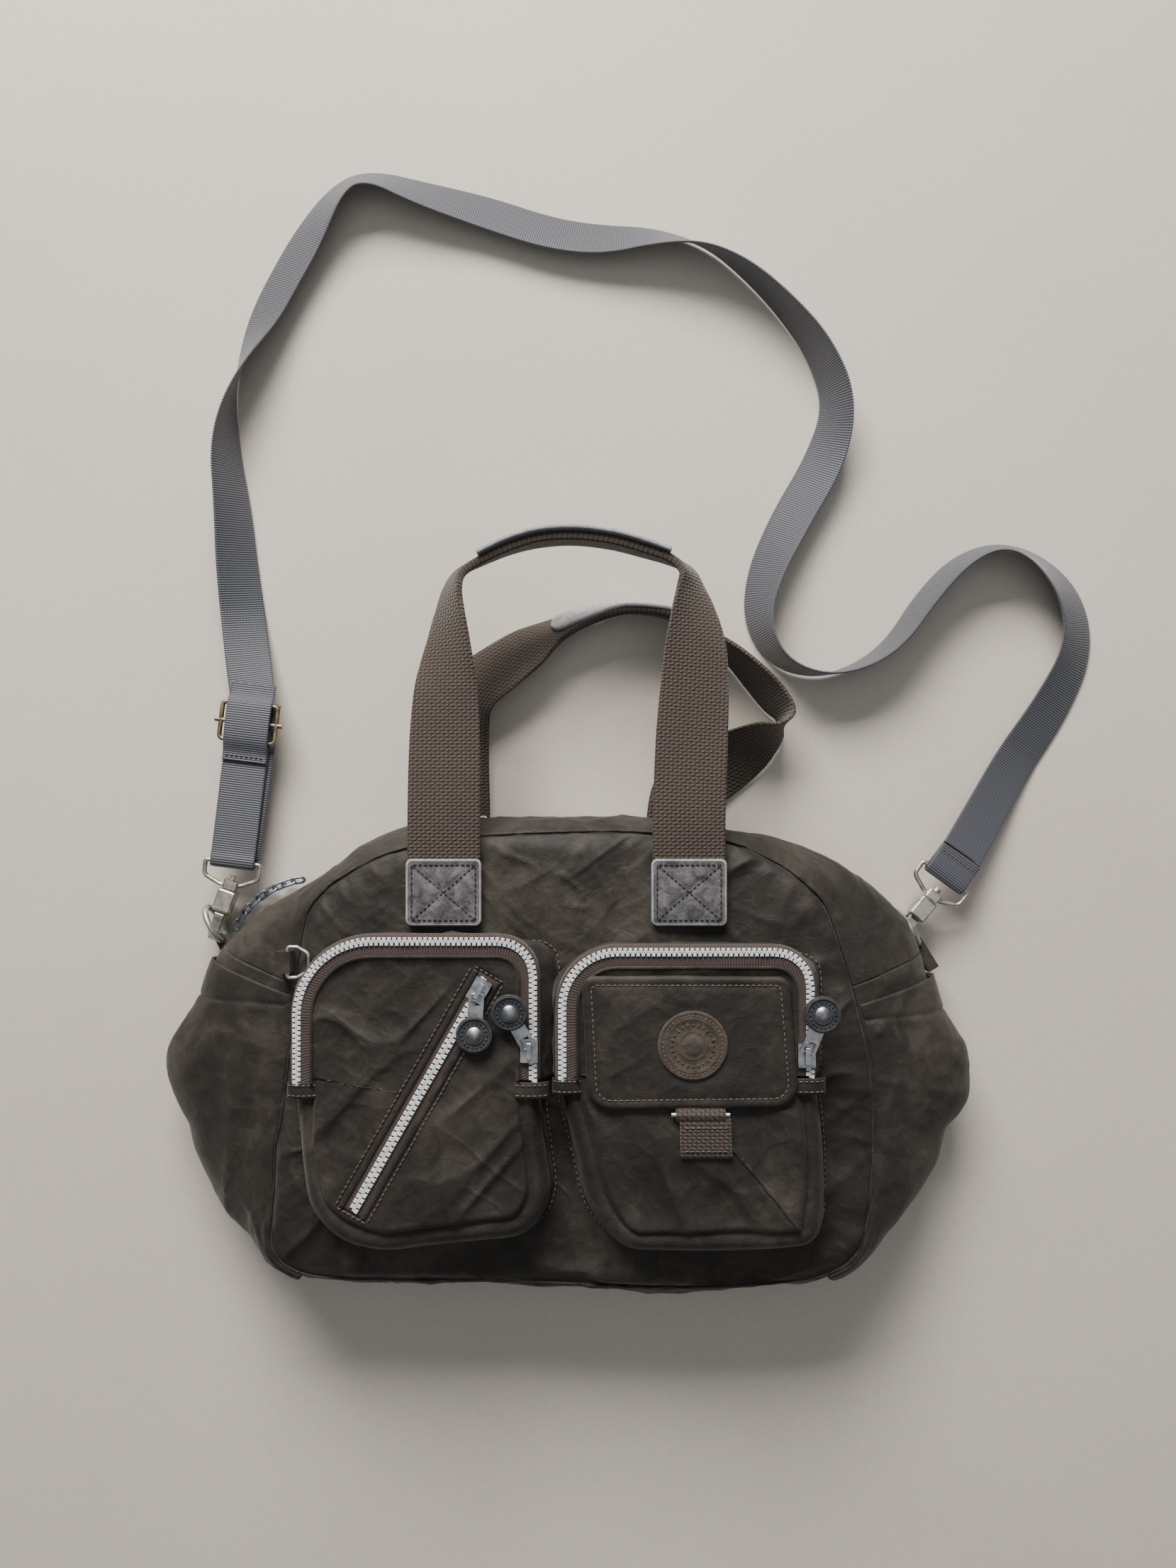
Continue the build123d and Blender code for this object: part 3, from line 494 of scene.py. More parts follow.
def thicken(piece, thick):
    """Gives a surface its thickness, on its inner side."""
    shell = piece.modifiers.new("cloth", "SOLIDIFY")
    shell.thickness = thick * MM
    shell.offset = -1.0
    graph = bpy.context.evaluated_depsgraph_get()
    made = bpy.data.meshes.new_from_object(piece.evaluated_get(graph))
    piece.modifiers.clear()
    piece.data = made
    face_outwards(made)


def sweep(name, line, sides, ups, widths, thicks, look, body="bag", ring=16, closed=False,
          round_share=0.5):
    """A band with rounded edges along a line. `sides` points across its width and `ups` through it."""
    count = len(line)
    angle = np.linspace(0, 2 * math.pi, ring, endpoint=False)
    power = round_share
    across = np.sign(np.cos(angle)) * np.abs(np.cos(angle)) ** power
    through = np.sign(np.sin(angle)) * np.abs(np.sin(angle)) ** power
    widths = np.broadcast_to(np.asarray(widths, float), (count,))
    thicks = np.broadcast_to(np.asarray(thicks, float), (count,))
    verts = (line[:, None, :] + sides[:, None, :] * (across[None, :, None] * widths[:, None, None] / 2)
             + ups[:, None, :] * (through[None, :, None] * thicks[:, None, None] / 2))
    reach = reach_along(line)
    uvs = np.stack([np.repeat(reach, ring), np.tile(across, count) * np.repeat(widths, ring) / 2], axis=1)
    faces = []
    spans = count if closed else count - 1
    for row in range(spans):
        below = (row + 1) % count
        for column in range(ring):
            right = (column + 1) % ring
            faces.append((row * ring + column, row * ring + right, below * ring + right,
                          below * ring + column))
    if not closed:
        faces.append(tuple(range(ring))[::-1])
        faces.append(tuple((count - 1) * ring + k for k in range(ring)))
    piece = make_piece(name, verts.reshape(-1, 3), faces, look, body, uvs=uvs)
    face_outwards(piece.data)
    return piece


def tangents(line, closed=False):
    if closed:
        along = np.roll(line, -1, axis=0) - np.roll(line, 1, axis=0)
    else:
        along = np.gradient(line, axis=0)
    return along / np.linalg.norm(along, axis=1, keepdims=True)


def crossed(a, b):
    out = np.cross(a, b)
    return out / np.linalg.norm(out, axis=-1, keepdims=True)


class Parts:
    """Many small solids gathered into one mesh."""

    def __init__(self):
        self.verts = []
        self.faces = []

    def add(self, verts, faces):
        first = len(self.verts)
        self.verts.extend(map(tuple, verts))
        self.faces.extend(tuple(first + k for k in face) for face in faces)

    def capsule(self, start, end, radius, lift=0.0):
        """One stitch of thread, thickest in its middle."""
        start, end = np.array(start, float), np.array(end, float)
        axis = end - start
        axis = axis / np.linalg.norm(axis)
        side = np.cross(axis, UP)
        side = side / max(np.linalg.norm(side), 1e-6)
        top = np.cross(side, axis)
        rings = ((0.0, 0.25), (0.14, 0.85), (0.5, 1.1), (0.86, 0.85), (1.0, 0.25))
        verts = []
        for share, grow in rings:
            middle = start + (end - start) * share + top * lift
            for k in range(6):
                angle = math.pi * k / 3
                verts.append(middle + (side * math.cos(angle) + top * math.sin(angle)) * radius * grow)
        faces = [(r * 6 + k, r * 6 + (k + 1) % 6, (r + 1) * 6 + (k + 1) % 6, (r + 1) * 6 + k)
                 for r in range(len(rings) - 1) for k in range(6)]
        faces.append((5, 4, 3, 2, 1, 0))
        faces.append(tuple(24 + k for k in range(6)))
        self.add(verts, faces)

    def stitches(self, line, pitch=2.9, radius=0.38, gap=0.25):
        """A row of running stitches along a line."""
        count = max(2, int(line_length(line) / pitch))
        knots = spaced(line, count + 1)
        for a, b in zip(knots, knots[1:]):
            self.capsule(a, a + (b - a) * (1 - gap), radius)

    def prism(self, outline, origin, along, across, up, low, high):
        """An upright solid from an outline given as (along, across) pairs, a little smaller at its top."""
        middle = np.mean(outline, axis=0)
        verts = []
        for height, shrink in ((low, 1.0), (high - 0.35, 1.0), (high, 0.82)):
            for s, n in outline:
                s, n = middle[0] + (s - middle[0]) * shrink, middle[1] + (n - middle[1]) * shrink
                verts.append(origin + along * s + across * n + up * height)
        count = len(outline)
        faces = [(r * count + k, r * count + (k + 1) % count, (r + 1) * count + (k + 1) % count,
                  (r + 1) * count + k) for r in range(2) for k in range(count)]
        faces.append(tuple(range(count))[::-1])
        faces.append(tuple(2 * count + k for k in range(count)))
        self.add(verts, faces)

    def piece(self, name, look, body="bag", slot=None, smooth=True):
        piece = make_piece(name, self.verts, self.faces, look, body, smooth)
        face_outwards(piece.data)
        return piece


# ---- Outlines of the bag, clockwise from the left shoulder ----

MID = [(-128, 107), (-110, 119.3), (-88, 128), (-45, 133.2), (0, 134.5), (46, 134.5), (89, 128),
       (115, 123.6), (133, 116.7), (146, 110.6), (163, 99.7), (170, 94), (184, 79), (193, 64),
       (198, 45), (201, 20), (203, -10), (203.5, -40), (201, -52), (193, -66), (183, -78), (173.7, -89),
       (164.5, -102), (154, -110), (142, -113.4), (120, -117.7), (86, -121), (60, -123), (38, -122),
       (24, -117.5), (0, -117), (-65, -114.8), (-111, -114), (-142, -113), (-155, -109), (-164, -103),
       (-173, -91), (-186, -77), (-201, -47), (-204, -20), (-203, 10), (-199, 36), (-195, 50),
       (-190, 60.7), (-179.7, 71.5), (-166.7, 83.7), (-153.7, 92.4), (-140.6, 99.7)]
FRONT = [(-117, 105), (-97, 115.9), (-72, 122.5), (-44, 126.2), (7, 128.3), (42, 128), (83, 123.8),
         (110, 112.2), (127, 100.2), (137, 88), (147.5, 58), (155.8, 27), (160, 4.5), (161.6, -18),
         (161, -51), (159, -74), (154, -92), (140, -103.5), (110, -109), (60, -111.5), (0, -109),
         (-60, -107.5), (-115, -107), (-142, -103), (-155, -92), (-156, -78), (-154, -59), (-153, -37),
         (-150, -22), (-146, 10), (-144, 37), (-138, 80), (-131, 94)]
POCKET_MID = [(-128, 108.5), (-110, 120.8), (-88, 129.5), (0, 136), (89, 129.5), (115, 125), (133, 118),
              (146, 112), (163, 101), (172, 95), (186, 80), (195, 64), (200, 47), (205.5, 29),
              (212, 18), (218, 8), (219.6, -4), (219.3, -17), (214.5, -27), (207.5, -35), (205, -44),
              (202, -54), (194, -67), (184, -79), (175, -90), (166, -103), (155, -111.5), (142, -115),
              (86, -122.5), (38, -123.5), (0, -119), (-65, -116.4), (-142, -114.6), (-156, -110.5),
              (-165, -104), (-174.5, -92), (-187.5, -78), (-202.5, -48), (-206.5, -33), (-211.5, -24),
              (-216.5, -13), (-219.3, -2), (-217.5, 9.5), (-211.5, 19.5), (-204, 30), (-200.5, 38),
              (-196.5, 51), (-191.5, 61.5), (-181, 72.5), (-167.5, 85), (-154.5, 94), (-141, 101)]
COLUMNS = 760
SIDE_ROWS = 50
FRONT_SEAM_Z = 57.5


def rounded_ring(corners, radii, inset):
    """A four-cornered outline with rounded corners, clockwise from the top left, drawn in by `inset`."""
    arcs = []
    for (x, y), radius, turn, (sx, sy) in zip(corners, radii, (180, 90, 0, -90),
                                              ((1, -1), (-1, -1), (-1, 1), (1, 1))):
        left = max(radius - inset, 0.6)
        angles = np.radians(turn - np.linspace(0, 90, 20))
        arcs.append(np.column_stack([x + sx * (inset + left) + left * np.cos(angles),
                                     y + sy * (inset + left) + left * np.sin(angles)]))
    line = []
    for index, arc in enumerate(arcs):
        start, end = arc[-1], arcs[(index + 1) % 4][0]
        line.append(arc)
        line.append(start + (end - start) * np.linspace(0, 1, 72)[1:-1, None])
    return np.vstack(line)


def by_angle(points, angles):
    """The outline's point at each compass angle round the origin."""
    dense = smooth_line(points, 3000, closed=True)
    theta = np.arctan2(dense[:, 1], dense[:, 0])
    order = np.argsort(theta)
    theta, radius = theta[order], np.linalg.norm(dense, axis=1)[order]
    theta = np.concatenate([theta - 2 * math.pi, theta, theta + 2 * math.pi])
    radius = np.tile(radius, 3)
    r = np.interp(angles, theta, radius)
    return np.stack([r * np.cos(angles), r * np.sin(angles)], axis=1)


even = smooth_line(MID, COLUMNS, closed=True)
ANGLES = np.arctan2(even[:, 1], even[:, 0])
mid_line = by_angle(MID, ANGLES)
front_line = by_angle(FRONT, ANGLES)
pocket_line = by_angle(POCKET_MID, ANGLES)
back_line = mid_line * np.array([0.875, 0.93])


def side_rows(widest, front_grow=0.0):
    """The side wall's smooth form, from the front seam down to the floor."""
    front = front_line + level_normals(front_line) * front_grow
    levels = []
    for share, z in ((0.0, FRONT_SEAM_Z), (0.16, 55.5), (0.46, 50.0), (0.80, 41.0), (0.98, 32.0),
                     (1.0, 24.0)):
        levels.append((front * (1 - share) + widest * share, z))
    levels.append((widest * 0.62 + back_line * 0.38, 14.0))
    levels.append((widest * 0.22 + back_line * 0.78, 6.5))
    levels.append((back_line * 0.985, 2.2))
    levels.append((back_line * 0.95, 0.7))
    control = np.stack([at_height(line, z) for line, z in levels])
    rows = np.linspace(0, len(levels) - 1, SIDE_ROWS)
    dense = np.stack([catmull(control[:, column], 12, False) for column in range(COLUMNS)], axis=1)
    at = rows * 12
    low = np.minimum(at.astype(int), dense.shape[0] - 2)
    part = (at - low)[:, None, None]
    return dense[low] * (1 - part) + dense[low + 1] * part


def side_frame(rest):
    """The side wall's outward directions, and how far down the wall each row is, from 0 to 1."""
    normal = grid_normals(rest, True)
    if np.sum(normal[SIDE_ROWS // 2, 0, :2] * mid_line[0]) < 0:
        normal = -normal
    return normal, np.arange(SIDE_ROWS)[:, None] / (SIDE_ROWS - 1)


def seam_pucker(reach, distance, seed, pitch=9.0, depth=1.0, fade=13.0):
    """Short folds square to a seam, which fade away from it."""
    line = np.stack([reach, np.full_like(reach, seed * 10.0), np.zeros_like(reach)], axis=-1)
    fold = noise(line, pitch, seed) + 0.5 * noise(line, pitch * 0.45, seed + 3)
    return depth * fold * np.exp(-distance / fade)


perimeter = reach_along(front_line)


def make_body():
    rest = side_rows(mid_line)
    normal, depth = side_frame(rest)
    height = wrinkles(rest, 3, 1.5, 1.0)
    height *= smoothstep(depth, 0.0, 0.10) * (1 - smoothstep(depth, 0.80, 0.97))
    roll_reach = np.broadcast_to(perimeter[None, :], height.shape)
    drop = np.broadcast_to(depth * 90, height.shape)
    height = height + seam_pucker(roll_reach, drop, 5, 11.0, 1.0, 10.0) * smoothstep(depth, 0.0, 0.03)
    side = rest + normal * height[..., None]
    side[..., 2] = np.maximum(side[..., 2], FLOOR_GAP)

    x, y = mid_line[:, 0], mid_line[:, 1]
    bottom = (np.abs(x) < 150) & (y < -90)
    top = (y > 62) & (np.abs(x) < 196)
    regions = (("top_gusset_skin", "top_gusset", top),
               ("bottom_panel_skin", "bottom_panel", bottom),
               ("left_end_skin", "left_end_panel", ~bottom & ~top & (x < 0)),
               ("right_end_skin", "right_end_panel", ~bottom & ~top & (x > 0)))
    for name, node, region in regions:
        piece = cloth_piece(name, side, "bag_fabric", closed=True, keep=region, flip=True, thick=1.2)
        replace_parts(piece, node)

    # Front panel: rings drawn in towards a point that a pocket hides.
    pole = np.array([-75.0, 0.0])
    shares = 1 - np.linspace(0, 1, 105) ** 1.05
    cap = pole + (front_line[None] - pole) * shares[:, None, None]
    inwards = np.linalg.norm(front_line[None] - cap, axis=-1)
    z = FRONT_SEAM_Z + 5.6 * (1 - np.exp(-inwards / 6.5))
    flat = np.concatenate([cap, z[..., None]], axis=-1)
    height = wrinkles(flat, 11, 1.9, 1.1) - 0.9 * smoothstep(inwards, 4, 20)
    height *= smoothstep(inwards, 0.0, 5.0)
    height += seam_pucker(np.broadcast_to(perimeter[None], height.shape), inwards, 8, 10.0, 1.2, 16.0) \
        * smoothstep(inwards, 0.0, 2.5)
    flat[..., 2] += np.clip(height, -3.0, 1.6)
    # The handle tails and patches lie tight on the panel.
    for centre in (-64.0, 64.0):
        under = (1 - smoothstep(np.abs(flat[..., 0] - centre), 19, 27)) * smoothstep(flat[..., 1], 70, 80)
        flat[..., 2] = flat[..., 2] * (1 - under) + np.minimum(flat[..., 2], 62.6) * under
    piece = cloth_piece("front_panel_skin", flat, "bag_fabric", closed=True, flip=True, thick=1.0)
    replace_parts(piece, "front_panel", "lining")

    edge = side[-1, :, :2]
    shares = np.linspace(1, 0, 40)
    rise = np.broadcast_to(np.linspace(0.5, 1.2, 40)[:, None, None], (40, COLUMNS, 1))
    under = np.concatenate([edge[None] * shares[:, None, None], rise], axis=-1)
    piece = cloth_piece("back_panel_skin", under, "bag_fabric", closed=True, flip=True, thick=0.1)
    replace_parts(piece, "back_panel")
    return side


def make_side_pockets():
    """Side pockets with a hemmed mouth, whose loose cloth bulges out at the side."""
    rest = side_rows(pocket_line, 1.4)
    normal, depth = side_frame(rest)
    height = wrinkles(rest, 41, 2.0, 1.4, 60) * (0.35 + 0.65 * smoothstep(rest[..., 2], 22, 50)) + 0.8
    height *= smoothstep(depth, 0.0, 0.08) * (1 - smoothstep(depth, 0.80, 0.96))
    mouth = {-1: 57.0, 1: 49.0}
    thread = Parts()
    for side, name in ((-1, "left"), (1, "right")):
        x, y = pocket_line[:, 0], pocket_line[:, 1]
        away = mouth[side] - rest[..., 1]
        hem = (1 - smoothstep(away, 17.5, 21.0)) * smoothstep(depth, 0.0, 0.05)
        loose = height * (1 - 0.75 * hem) + 0.9 * hem - 0.9 * (1 - smoothstep(np.abs(away - 19.5), 0, 2.0))
        skin = rest + normal * loose[..., None]
        skin[..., 2] = np.clip(skin[..., 2], 0.4, 58.6)
        region = (x * side > 146) & (y < mouth[side]) & (y > -113.5)
        piece = cloth_piece(name + "_side_pocket_skin", skin, "bag_fabric", closed=True, keep=region,
                            flip=True, thick=1.2)
        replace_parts(piece, name + "_side_pocket")
        for below in (2.6, 5.4, 18.6):
            column = int(np.argmin(np.where(x * side > 146, np.abs(y - (mouth[side] - below)), 1e9)))
            line = skin[1:30, column] + normal[1:30, column] * 0.45
            thread.stitches(line, 3.4, 0.5)
    thread.piece("side_pocket_thread", "thread", slot="bag_fabric")


# ---- Front pockets ----

ZIP_IN = 2.2
FACE_IN = 9.2
POCKET_COLUMNS = 460
ZIP_POINTS = 240
POCKET_BASE_Z = 61.8
POCKET_RIM_Z = 83.3
POCKET_TAPE_Z = 83.85
FACE_Z = 84.9


def rounded_top(x, y_top, y_end, radius_left, radius_right, inset, step=5.0):
    """Upper half of a rounded rectangle, from its left end up, across and down its right side."""
    x0, x1, top = x[0] + inset, x[1] - inset, y_top - inset
    left, right = radius_left - inset, radius_right - inset
    points = [(x0, y) for y in np.arange(y_end, top - left - 1, step)]
    points += [(x0 + left - left * math.cos(a), top - left + left * math.sin(a))
               for a in np.linspace(0, math.pi / 2, max(4, int(left / 3)))]
    points += [(u, top) for u in np.arange(x0 + left + step, x1 - right - 1, step)]
    points += [(x1 - right + right * math.sin(a), top - right + right * math.cos(a))
               for a in np.linspace(0, math.pi / 2, max(4, int(right / 3)))]
    points += [(x1, y) for y in np.arange(top - right - step, y_end - 0.1, -step)]
    return points


LEFT_POCKET = dict(name="left", x=(-138.2, -14.3), top=76.5, radii=(40, 20), zip_end=2.0, seed=60,
                   lower=[(-13.6, -18), (-10.8, -40), (-9.2, -56), (-14, -69), (-25, -77.5), (-45, -80),
                          (-70, -82.5), (-92, -84.8), (-110, -81.5), (-122, -74), (-130.5, -62),
                          (-133.5, -47), (-136, -22)],
                   centre=(-75, -4), turn=48)
RIGHT_POCKET = dict(name="right", x=(-3.9, 125.9), top=71.1, radii=(30, 20), zip_end=4.0, seed=80,
                    lower=[(129, -10), (131.5, -36), (131.5, -68), (126, -80.5), (112, -83.8), (81, -85.2),
                           (50, -85), (33, -83.6), (21, -75), (12, -61), (6, -36), (0, -12)],
                    centre=(62, -4), turn=-52)
DIAGONAL_START = np.array([-107.3, -61.5])
DIAGONAL_ANGLE = math.radians(60.3)
DIAGONAL_LENGTH = 135.0
DIAGONAL_ALONG = np.array([math.cos(DIAGONAL_ANGLE), math.sin(DIAGONAL_ANGLE)])
DIAGONAL_ACROSS = np.array([-DIAGONAL_ALONG[1], DIAGONAL_ALONG[0]])


def pocket_outline(spec):
    """The whole pocket outline, with its loose lower half."""
    upper = rounded_top(spec["x"], spec["top"], spec["zip_end"], *spec["radii"], 0.0)
    return smooth_line(upper + spec["lower"], POCKET_COLUMNS, closed=True)


def zip_teeth(parts, line, ups, pitch=3.0, size=0.86):
    """Two interlocked rows of moulded teeth along a line of points."""
    total = line_length(line)
    count = int(total / (pitch / 2))
    spots = spaced(np.hstack([line, ups]), count + 1)
    along = tangents(spots[:, :3])
    tooth = [(-1.22, 2.85), (1.22, 2.85), (1.22, 0.85), (0.74, 0.55), (0.74, -0.85), (-0.74, -0.85),
             (-0.74, 0.55), (-1.22, 0.85)]
    tooth = [(s * size, n * size) for s, n in tooth]
    for index in range(count + 1):
        up = spots[index, 3:] / np.linalg.norm(spots[index, 3:])
        across = crossed(up, along[index]) * (1 if index % 2 else -1)
        outline = tooth if index % 2 else tooth[::-1]
        parts.prism(outline, spots[index, :3], along[index], across, up, 0.0, 1.4)


# Rings from the face's edge inwards: inset and height beside the zip, share of the lower edge's inset and
# height below the zip, and how far the change from one to the other is drawn out.
FACE_EDGE = ((9.4, 83.9, -1.2, 71.0, 0), (9.1, 84.9, -0.6, 74.5, 0), (9.5, 85.6, 0.12, 78.6, 1),
             (10.0, 85.75, 0.36, 81.4, 3), (10.6, 85.6, 0.66, 82.6, 6), (11.2, 85.5, 0.90, 82.0, 9),
             (11.8, 85.35, 1.0, 81.7, 12), (12.4, 85.25, 1.10, 83.2, 16), (13.2, 85.1, 1.20, 84.5, 22),
             (14.2, 84.95, 1.32, 84.9, 30))


def make_pocket(spec):
    name = spec["name"]
    outline = pocket_outline(spec)
    out = level_normals(outline)
    upper = smoothstep(outline[:, 1], spec["zip_end"] - 5, spec["zip_end"] + 1.5)
    right_side = smoothstep(out[:, 0], 0.5, 0.95)

    # The side wall flares at its base.
    flare = 3.0 + (7.0 if name == "left" else 4.0) * right_side * upper
    flare -= 6.0 * smoothstep(out[:, 1], 0.25, 0.9)
    make_pocket_wall(spec, outline, out, upper, flare)
    make_pocket_face(spec, outline, out)
    make_pocket_zip(spec)
    thread = Parts()
    finish_pocket_zip(spec, thread)
    base = outline + out * (flare[:, None] + 0.6)
    seam = at_height(base, POCKET_BASE_Z + 1.3)
    visible = (seam[:, 1] < spec["top"] - 6) | (out[:, 0] > 0.6)
    run = seam[visible]
    breaks = np.where(np.linalg.norm(np.diff(run, axis=0), axis=1) > 6)[0]
    for stretch in np.split(run, breaks + 1):
        if len(stretch) > 8:
            thread.stitches(stretch, 3.2, 0.4)
    thread.piece(name + "_pocket_thread", "thread", slot="bag_fabric")


def make_pocket_wall(spec, outline, out, upper, flare):
    """The bellows wall, which bulges outwards half way up."""
    rows = 22
    lower = 1 - upper
    wall = np.zeros((rows, POCKET_COLUMNS, 3))
    for row in range(rows):
        t = row / (rows - 1)
        z = POCKET_BASE_Z + (POCKET_RIM_Z - POCKET_BASE_Z) * t
        grow = flare * (1 - t) ** 1.6 + 1.6 * math.sin(math.pi * t)
        inset = -grow * (1 - 0.15 * lower) + 2.2 * smoothstep(t, 0.86, 1.0) * upper + 3.0 * t * lower
        wall[row, :, :2] = outline - out * inset[:, None]
        wall[row, :, 2] = z - lower * 8.5 * t
    fold = wrinkles(wall, spec["seed"], 1.8, 1.1)
    t = (np.arange(rows) / (rows - 1))[:, None]
    fold *= smoothstep(t, 0.0, 0.12) * (1 - smoothstep(t, 0.78, 0.98))
    wall[..., :2] += out[None] * fold[..., None]
    piece = cloth_piece(spec["name"] + "_pocket_wall_skin", wall, "bag_fabric", closed=True, flip=True,
                        thick=1.0)
    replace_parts(piece, spec["name"] + "_pocket_gusset")


def make_pocket_face(spec, outline, out):
    """The face, whose edge stands up beside the zip and rolls over into the wall below."""
    name = spec["name"]
    rings = []
    bottom = smoothstep(-outline[:, 1], 40, 75)
    edge_in = 8.0 + 2.6 * bottom + 1.4 * noise(at_height(outline, 0.0), 30, spec["seed"])
    for inset_zip, z_zip, share_low, z_low, reach_over in FACE_EDGE:
        part = smoothstep(outline[:, 1], spec["zip_end"] - 4.0 - reach_over,
                          spec["zip_end"] + 1.5 + reach_over * 0.6)
        inset_low = share_low * edge_in if share_low > 0 else share_low
        inset = inset_zip * part + inset_low * (1 - part)
        z = z_zip * part + z_low * (1 - part)
        rings.append(at_height(outline - out * inset[:, None], z))
    centre = np.array([*spec["centre"], FACE_Z])
    inner = rings[-1]
    steps = 62
    for step in range(1, steps + 1):
        share = (1 - step / steps) ** 1.02
        ring = centre + (inner - centre) * share
        ring[:, 2] = FACE_Z + (inner[:, 2] - FACE_Z) * max(0, 1 - step / 14)
        rings.append(ring)
    face = np.stack(rings)
    count = face.shape[0]
    inwards = np.clip((np.arange(count)[:, None] - 1) / 14, 0, 1)
    height = wrinkles(face, spec["seed"] + 5, 2.3, 1.3, spec["turn"]) - 0.5
    below = smoothstep(-face[..., 1], -10, 50)
    height -= 2.6 * below * smoothstep(noise(face, 38, spec["seed"] + 7), -0.1, 0.7)
    height = height * inwards
    if name == "left":
        offset = face[..., :2] - DIAGONAL_START
        across = np.abs(offset @ DIAGONAL_ACROSS)
        along = offset @ DIAGONAL_ALONG
        near = (1 - smoothstep(across, 9, 24)) * smoothstep(along, -14, -3)
        height *= 1 - 0.93 * near
        slot = (1 - smoothstep(across, 4.6, 6.0)) * smoothstep(along, -3.5, -1.5)
        slot *= 1 - smoothstep(along, DIAGONAL_LENGTH + 1.5, DIAGONAL_LENGTH + 3.5)
        height -= 1.6 * slot
    else:
        flap = smoothstep(face[..., 0], 4, 14) * (1 - smoothstep(face[..., 0], 112, 122))
        flap *= smoothstep(face[..., 1], -14, -4) * (1 - smoothstep(face[..., 1], 54, 62))
        height = height * (1 - flap) - 0.9 * flap * inwards
    direction = np.zeros_like(face)
    slow = 1 - smoothstep(outline[:, 1], spec["zip_end"] - 26, spec["zip_end"] - 2)
    roll = np.clip(1 - np.arange(count)[:, None] / 7, 0, 1) * slow[None]
    direction[..., :2] = out[None] * roll[..., None]
    direction[..., 2] = 1 - 0.6 * roll
    face = face + direction * np.clip(height, -4.5, 1.2)[..., None]
    piece = cloth_piece(name + "_pocket_face_skin", face, "bag_fabric", closed=True, flip=True, thick=0.9)
    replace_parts(piece, name + "_pocket_face")


def strip_line(spec, inset):
    """A line round the pocket's top, `inset` inside its outline."""
    line = rounded_top(spec["x"], spec["top"], spec["zip_end"], *spec["radii"], inset, 2.5)
    return smooth_line(line, ZIP_POINTS)


def make_pocket_zip(spec):
    """Zip tape and teeth round the pocket's top."""
    name = spec["name"]
    tape_rows = []
    for inset, z in ((-0.9, 79.5), (-0.6, 82.0), (0.4, 83.4), (1.6, 83.85), (4.2, 83.9), (7.0, 83.85),
                     (9.4, 83.8), (11.2, 83.6)):
        tape_rows.append(at_height(strip_line(spec, inset), z))
    tape = np.stack(tape_rows)
    tape = tape + UP * (0.25 * noise(tape, 9, 4))[..., None]
    rows, columns = tape.shape[:2]
    length = reach_along(tape[4])
    uvs = np.stack([np.tile(length, rows), np.repeat(np.arange(rows) * 1.6, columns)], axis=1)
    piece = make_piece(name + "_zip_tape_band", tape.reshape(-1, 3), grid_faces(rows, columns, flip=False),
                       "zip_tape", uvs=uvs)
    thicken(piece, 0.5)
    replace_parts(piece, name + "_pocket_zip_tape")
    chain = strip_line(spec, ZIP_IN)
    up = np.tile(UP, (ZIP_POINTS, 1))
    parts = Parts()
    zip_teeth(parts, at_height(chain, POCKET_TAPE_Z + 0.1), up, 2.6, 0.74)
    piece = parts.piece(name + "_zip_teeth_rows", "zip_teeth", smooth=False)
    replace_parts(piece, name + "_pocket_zip_teeth")


def finish_pocket_zip(spec, thread):
    """Piping along the face's edge, and the sewn bands that hold the zip's two ends."""
    name = spec["name"]
    edge = at_height(strip_line(spec, FACE_IN + 0.6), 85.75)
    along = tangents(edge)
    up = np.tile(UP, (ZIP_POINTS, 1))
    sweep(name + "_face_edge", edge, crossed(along, up), up, 1.7, 1.1, "bag_fabric", ring=10, round_share=0.8)
    for index, x_mid in enumerate((spec["x"][0] + 5.0, spec["x"][1] - 4.0)):
        width = 15.0 if index == 0 else 19.0
        xs = np.linspace(x_mid - width / 2, x_mid + width / 2, 24)
        bulge = 84.7 - 2.4 * np.clip(np.abs(xs - x_mid) / (width / 2), 0, 1) ** 3
        line = np.column_stack([xs, np.full(24, spec["zip_end"] - 3.0), bulge])
        along = tangents(line)
        side = np.tile([0.0, 1.0, 0.0], (24, 1))
        sweep(name + "_zip_end_band_%d" % (index + 1), line, side, crossed(along, side), 8.6, 1.6,
              "bag_fabric")
        for shift in (-2.6, 2.6):
            thread.stitches(line + np.array([0, shift, 1.0]), 2.6, 0.36)


